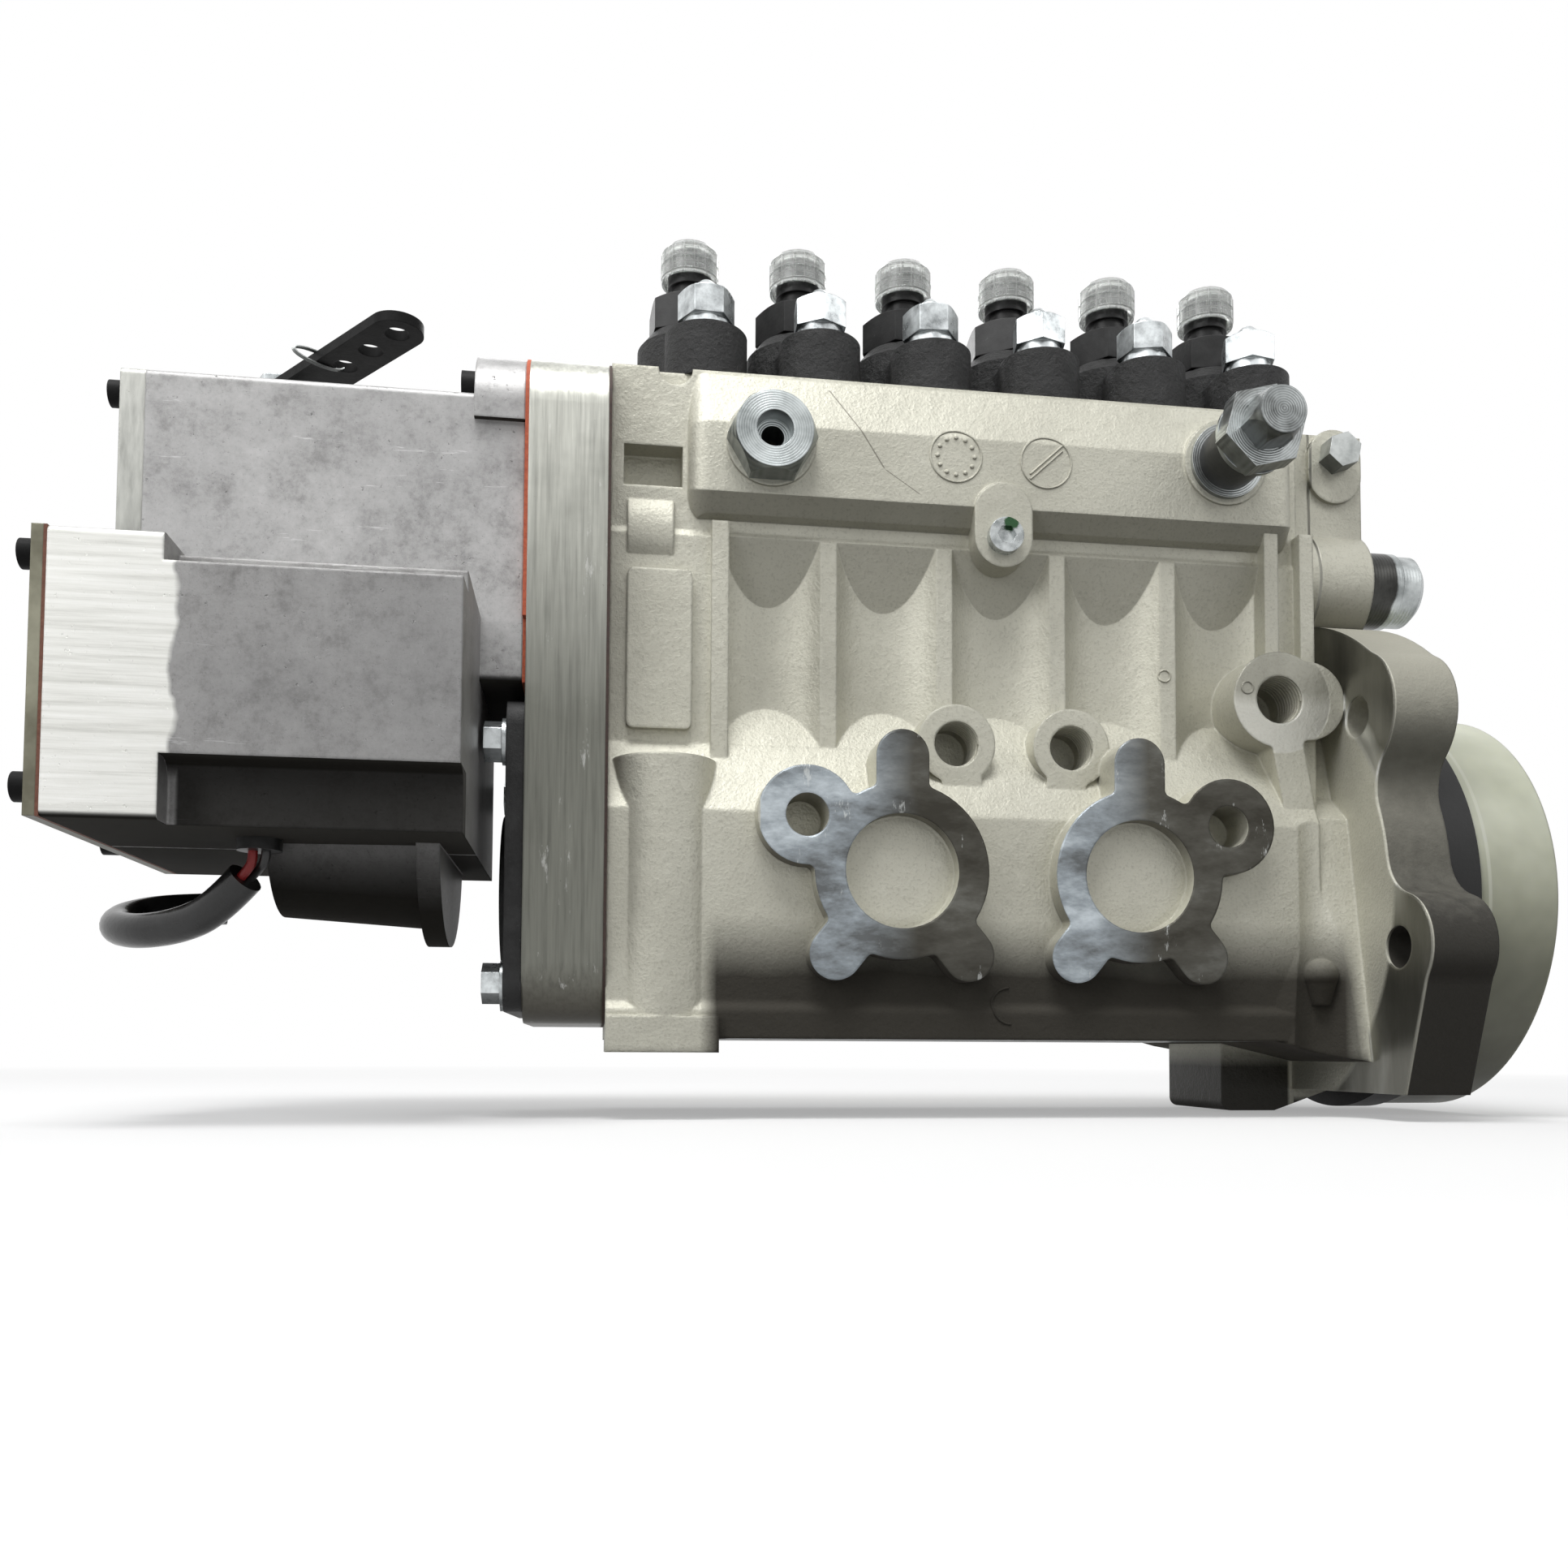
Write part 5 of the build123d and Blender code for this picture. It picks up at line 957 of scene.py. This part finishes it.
def thread_in_bore(name, axis, radius, front_y, depth):
    steps = round(depth / thread_pitch * thread_steps)
    points = []
    for step in range(steps + 1):
        turn = 2 * math.pi * step / thread_steps
        x = axis[0] + radius * math.cos(turn)
        z = axis[1] + radius * math.sin(turn)
        points.append((x, front_y + depth * step / steps, z))
    curve = new_curve(name, thread_line, 2)
    add_run(curve, "POLY", points)
    print(name, "turns", round(depth / thread_pitch, 1))
    return as_mesh(name, curve, "housing")


boss_threads = [thread_in_bore(*bore) for bore in boss_bores]

# %% [markdown]
# ## Dressing the nodes
# Each CAD node gets one of these finishes. The mesh of a node is never touched, only its
# material slots.

# %% Give every node its finish
node_finishes = {
    "pump_housing": housing_skin,
    "base_cover": dull_zinc,
    "base_screws": zinc,
    "housing_gasket": dark_gasket,
    "adapter_plate": plate_skin,
    "governor_gasket": red_gasket,
    "governor_housing": governor_skin,
    "governor_cover": cover_skin,
    "governor_cover_screws": black_screws,
    "governor_flange_screws": black_screws,
    "shaft_cover": dark_plate,
    "shaft_cover_screws": zinc,
    "actuator_housing": actuator_skin,
    "actuator_gasket": brown_gasket,
    "actuator_cover": olive_cover,
    "actuator_cover_screws": black_screws,
    "actuator_stator": copper_lacquer,
    "actuator_rotor": ground_steel,
    "camshaft": ground_steel,
    "drive_key": ground_steel,
    "bearing_inner_rings": ground_steel,
    "bearing_outer_rings": ground_steel,
    "bearing_rollers": ground_steel,
    "bearing_retainer": retainer_skin,
    "pilot_ring": black_rubber,
    "oil_seal": black_rubber,
    "drive_cap": milky_cap_skin,
    "tappets": ground_steel,
    "tappet_rollers": ground_steel,
    "plunger_springs": ground_steel,
    "spring_plates": ground_steel,
    "plungers": ground_steel,
    "barrels": ground_steel,
    "control_rack": ground_steel,
    "delivery_flanges": black_casting,
    "flange_studs": zinc,
    "flange_washers": zinc,
    "flange_nuts": zinc,
    "valve_holders": black_bar,
    "transit_caps": clear_cap_skin,
    "inlet_fitting": turned_zinc,
    "overflow_washers": turned_union,
    "overflow_sleeve": black_rubber,
    "overflow_union": turned_union,
    "overflow_bolt": dull_bolt,
    "rack_guide_screw": guide_screw_skin,
    "side_bolt": dull_zinc,
    "rack_end_cap": rack_cap_skin,
    "stop_lever": black_screws,
    "stop_shaft": zinc,
    "stop_bushing": dull_zinc,
    "cable_gland": black_rubber,
}
for number in range(1, 7):
    node_finishes["control_sleeve_" + str(number)] = ground_steel


def dress(item, finish):
    item.data.materials.clear()
    item.data.materials.append(finish)


for name, finish in node_finishes.items():
    dress(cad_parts[name], finish)
dress(sleeve, sleeve_skin)
dress(red_wire, red_plastic)
dress(black_wire, black_plastic)
dress(lock_wire, dull_zinc)
for mark in body_marks:
    dress(mark, housing_skin)
for line in cap_lines:
    dress(line, clear_cap_skin)
for thread in boss_threads:
    dress(thread, housing_skin)
print("nodes dressed", len(node_finishes), "of", len(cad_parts))


# %% [markdown]
# ## Floor, light and sky
# The photograph has a cut out white background and a strong light from above, so the upper
# parts are bright and the undersides nearly black. A pale floor lies under the pump and keeps
# its shadow. Further out it fades into plain white, but only for what the camera, mirrors and
# glass see. The light that it throws back at the pump stays low, as from a workbench.


# %% Floor
floor_gap = 0.0006
floor_z = cad_box[0].z - floor_gap
fade_from, fade_to = 0.30, 1.10
least_white = 0.35
floor_half_width = 6.0
floor_centre = (-0.17, 0)
floor_mesh = bpy.data.meshes.new("pale_floor")
floor_shape = bmesh.new()
bmesh.ops.create_grid(floor_shape, x_segments=1, y_segments=1, size=floor_half_width)
floor_shape.to_mesh(floor_mesh)
floor_shape.free()
floor = bpy.data.objects.new("pale_floor", floor_mesh)
floor.location = (*floor_centre, floor_z)
bpy.context.scene.collection.objects.link(floor)


def seen_rays(f):
    camera_ray = f.node("ShaderNodeLightPath", {}, {}, "Is Camera Ray")
    glossy_ray = f.node("ShaderNodeLightPath", {}, {}, "Is Glossy Ray")
    glass_ray = f.node("ShaderNodeLightPath", {}, {}, "Is Transmission Ray")
    return camera_ray.maths("MAXIMUM", glossy_ray).maths("MAXIMUM", glass_ray)


def floor_finish():
    f = Finish("pale_floor_finish")
    drift = f.noise(3.0, 2.0)
    pale = f.ramp(drift, [(0.3, grey(0.93)), (0.7, grey(0.96))])
    bench = f.ramp(drift, [(0.3, grey(0.10)), (0.7, grey(0.14))])
    seen = seen_rays(f)
    near = f.node("ShaderNodeBsdfPrincipled", {}, {
        "Base Color": f.mix(seen, bench, pale), "Roughness": 0.9, "Specular IOR Level": 0.1})
    white = f.node("ShaderNodeEmission", {}, {"Color": (1, 1, 1), "Strength": 1.0})
    x, y, _ = f.split(f.spot)
    fade = f.band(away_from(x, y, (0.0, 0.0)), fade_from, fade_to)
    out = (fade * (1.0 - least_white) + least_white) * seen
    mixed = f.node("ShaderNodeMixShader", {}, {0: out, 1: near, 2: white})
    f.links.new(mixed.socket, f.output.inputs["Surface"])
    return f.material


dress(floor, floor_finish())
print("floor at", round(floor_z, 4), "fades from", fade_from, "to", fade_to)

# %% World
soft_strength = 0.22
world = bpy.data.worlds.new("studio")
bpy.context.scene.world = world
world.use_nodes = True
world_nodes = world.node_tree.nodes
world_links = world.node_tree.links
world_nodes.clear()
world_output = world_nodes.new("ShaderNodeOutputWorld")
path = world_nodes.new("ShaderNodeLightPath")
seen = None
for ray in ("Is Camera Ray", "Is Glossy Ray", "Is Transmission Ray"):
    if seen is None:
        seen = path.outputs[ray]
        continue
    either = world_nodes.new("ShaderNodeMath")
    either.operation = "MAXIMUM"
    world_links.new(seen, either.inputs[0])
    world_links.new(path.outputs[ray], either.inputs[1])
    seen = either.outputs[0]
soft_light = world_nodes.new("ShaderNodeBackground")
soft_light.inputs["Color"].default_value = (0.97, 0.98, 1.0, 1.0)
soft_light.inputs["Strength"].default_value = soft_strength
white = world_nodes.new("ShaderNodeBackground")
white.inputs["Color"].default_value = (1, 1, 1, 1)
white.inputs["Strength"].default_value = 1.0
choose = world_nodes.new("ShaderNodeMixShader")
world_links.new(seen, choose.inputs[0])
world_links.new(soft_light.outputs[0], choose.inputs[1])
world_links.new(white.outputs[0], choose.inputs[2])
world_links.new(choose.outputs[0], world_output.inputs["Surface"])
print("world nodes", len(world_nodes))


# %% Lamps
def soft_lamp(name, place, aim, width, height, power):
    data = bpy.data.lights.new(name, "AREA")
    data.shape = "RECTANGLE"
    data.size = width
    data.size_y = height
    data.energy = power
    lamp = bpy.data.objects.new(name, data)
    lamp.location = place
    lamp.rotation_mode = "QUATERNION"
    lamp.rotation_quaternion = (Vector(aim) - Vector(place)).to_track_quat("-Z", "Y")
    bpy.context.scene.collection.objects.link(lamp)
    return lamp


pump_middle = (-0.17, 0.0, 0.07)
soft_lamp("window_above", (-0.42, -0.45, 1.18), pump_middle, 0.7, 0.5, 12.5)
soft_lamp("window_left", (-1.15, -0.75, 0.60), pump_middle, 0.5, 0.8, 4.2)
soft_lamp("window_right", (0.85, -0.70, 0.85), pump_middle, 0.5, 0.6, 1.6)
soft_lamp("window_behind", (0.0, 1.10, 1.00), pump_middle, 1.0, 0.6, 6.0)
bpy.context.scene.view_settings.view_transform = "Standard"
print("lamps", len(bpy.data.lights))
